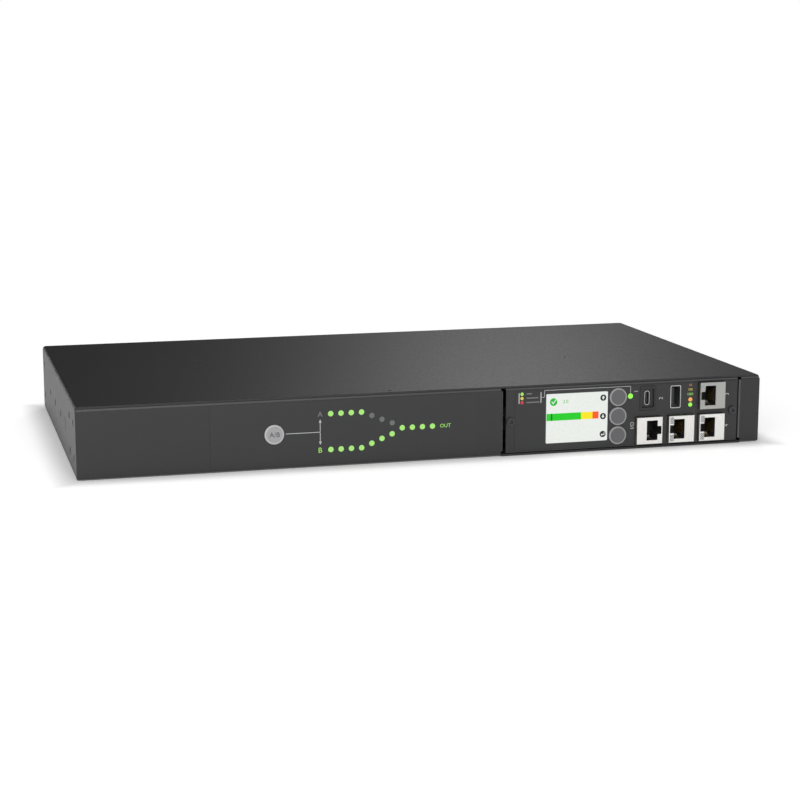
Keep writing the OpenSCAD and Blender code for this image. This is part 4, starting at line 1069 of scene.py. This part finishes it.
@dataclass
class Studio:
    """Plain pale floor, soft lamps and the camera."""

    eye: tuple[float, float, float] = (-0.3091, -1.1852, 0.2478)
    yaw: float = 15.09
    pitch: float = 10.72
    lens: float = 83.74
    floor_half: float = 2.5
    floor_drop: float = 0.0002
    foot: tuple[float, float] = (216.0, 118.0)
    near: float = 19.0
    # Glow at the foot and at the near distance: the low end is a painted shadow round the object's foot.
    foot_shadow_glow: tuple[float, float] = (0.14, 0.52)
    far: tuple[float, float] = (150.0, 1500.0)
    glow_far: float = 0.62
    around: float = 0.3
    mirrored: float = 0.03

    def build(self) -> None:
        """Makes the whole studio."""
        self.camera()
        self.floor()
        self.world()
        for lamp in LAMPS:
            lamp.hang()
        bpy.context.scene.view_settings.view_transform = "Standard"

    def camera(self) -> None:
        """Places the camera, level along its width."""
        data = bpy.data.cameras.new("camera")
        data.lens = self.lens
        data.sensor_width = 36.0
        data.clip_start, data.clip_end = 0.01, 200.0
        camera = bpy.data.objects.new("camera", data)
        bpy.context.scene.collection.objects.link(camera)
        camera.location = self.eye
        camera.rotation_euler = (math.radians(90 - self.pitch), 0.0, math.radians(-self.yaw))
        bpy.context.scene.camera = camera

    def floor(self) -> None:
        """Lays the floor: white where it is seen directly or in a reflection, and darker in shadow and in a
        painted shadow round the object's foot.
        """
        corners = flat_box((-self.floor_half, -self.floor_half), (self.floor_half, self.floor_half))
        mesh = bpy.data.meshes.new("floor")
        mesh.from_pydata([(x, y, 0.0) for x, y in corners], [], [(0, 1, 2, 3)])
        floor = bpy.data.objects.new("floor", mesh)
        bpy.context.scene.collection.objects.link(floor)
        floor.location.z = -self.floor_drop
        mesh.materials.append(self.floor_finish())

    def floor_finish(self) -> bpy.types.Material:
        """Pale matt floor, whose own glow grows with the distance from the object's foot: the low glow at the
        foot is a painted shadow round it, and the glow farther out keeps the far floor white.

        Returns:
            The new material.
        """
        recipe = Recipe("pale_floor")
        mottle = recipe.noise(recipe.place(), 400.0, 2.0)
        pale = recipe.blend(mottle, (0.8, 0.8, 0.8), (0.82, 0.82, 0.82))
        recipe.feed(recipe.shader.inputs["Base Color"], pale)
        recipe.shader.inputs["Roughness"].default_value = 0.9
        recipe.shader.inputs["Specular IOR Level"].default_value = 0.1
        x, y, _ = recipe.parts(recipe.place())
        beyond = [recipe.math("SUBTRACT", recipe.math("ABSOLUTE", way), half_side)
                  for way, half_side in zip((x, y), self.foot)]
        away = recipe.math("MAXIMUM", recipe.math("MAXIMUM", *beyond), 0.0)
        # Low glow right at the object's foot: a painted shadow round the foot, added to the cast shadow.
        glow = recipe.math("ADD", recipe.span(away, 0.0, self.near, *self.foot_shadow_glow),
                           recipe.span(away, *self.far, 0.0, self.glow_far))
        shown = recipe.math("MULTIPLY", self.seen(recipe), glow)
        recipe.feed(recipe.shader.inputs["Emission Strength"], shown)
        recipe.shader.inputs["Emission Color"].default_value = (1, 1, 1, 1)
        return recipe.material

    def seen(self, recipe: Recipe) -> Socket:
        """One for rays from the camera, a mirror or a glass, else nought."""
        path = recipe.node("LightPath")
        share = recipe.math("MAXIMUM", path.outputs["Is Camera Ray"], path.outputs["Is Glossy Ray"])
        return recipe.math("MAXIMUM", share, path.outputs["Is Transmission Ray"])

    def world(self) -> None:
        """Lights the scene softly from all round, white to the camera and dim in a reflection."""
        world = bpy.data.worlds.new("studio")
        world.use_nodes = True
        bpy.context.scene.world = world
        tree = world.node_tree
        back = tree.nodes["Background"]
        back.inputs["Color"].default_value = (1, 1, 1, 1)
        path = tree.nodes.new("ShaderNodeLightPath")
        shown = tree.nodes.new("ShaderNodeMix")
        dim = tree.nodes.new("ShaderNodeMix")
        shown.inputs["A"].default_value = self.around
        shown.inputs["B"].default_value = 1.0
        dim.inputs["B"].default_value = self.mirrored
        tree.links.new(path.outputs["Is Camera Ray"], shown.inputs["Factor"])
        tree.links.new(path.outputs["Is Glossy Ray"], dim.inputs["Factor"])
        tree.links.new(shown.outputs["Result"], dim.inputs["A"])
        tree.links.new(dim.outputs["Result"], back.inputs["Strength"])


def main() -> None:
    """Builds the classes in order."""
    logging.basicConfig(level=logging.INFO, format="%(name)s: %(message)s")
    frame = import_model()
    wardrobe = Wardrobe()
    for finish, nodes in NODE_FINISHES.items():
        for node in nodes:
            wardrobe.dress(frame["nodes"][node], finish)
    Keys(wardrobe).build()
    shop = Workshop(wardrobe)
    MimicPrint(shop).build()
    DisplayPicture(shop).build()
    ModulePrint(shop).build()
    JackTrim(shop, "network_jack").build()
    JackTrim(shop, "serial_jack", turned=True, lit=False).build()
    JackTrim(shop, "chain_in_jack").build()
    JackTrim(shop, "chain_out_jack").build()
    Studio().build()
    LOG.info("pieces made: %d", len(shop.pieces))


if __name__ == "__main__":
    main()
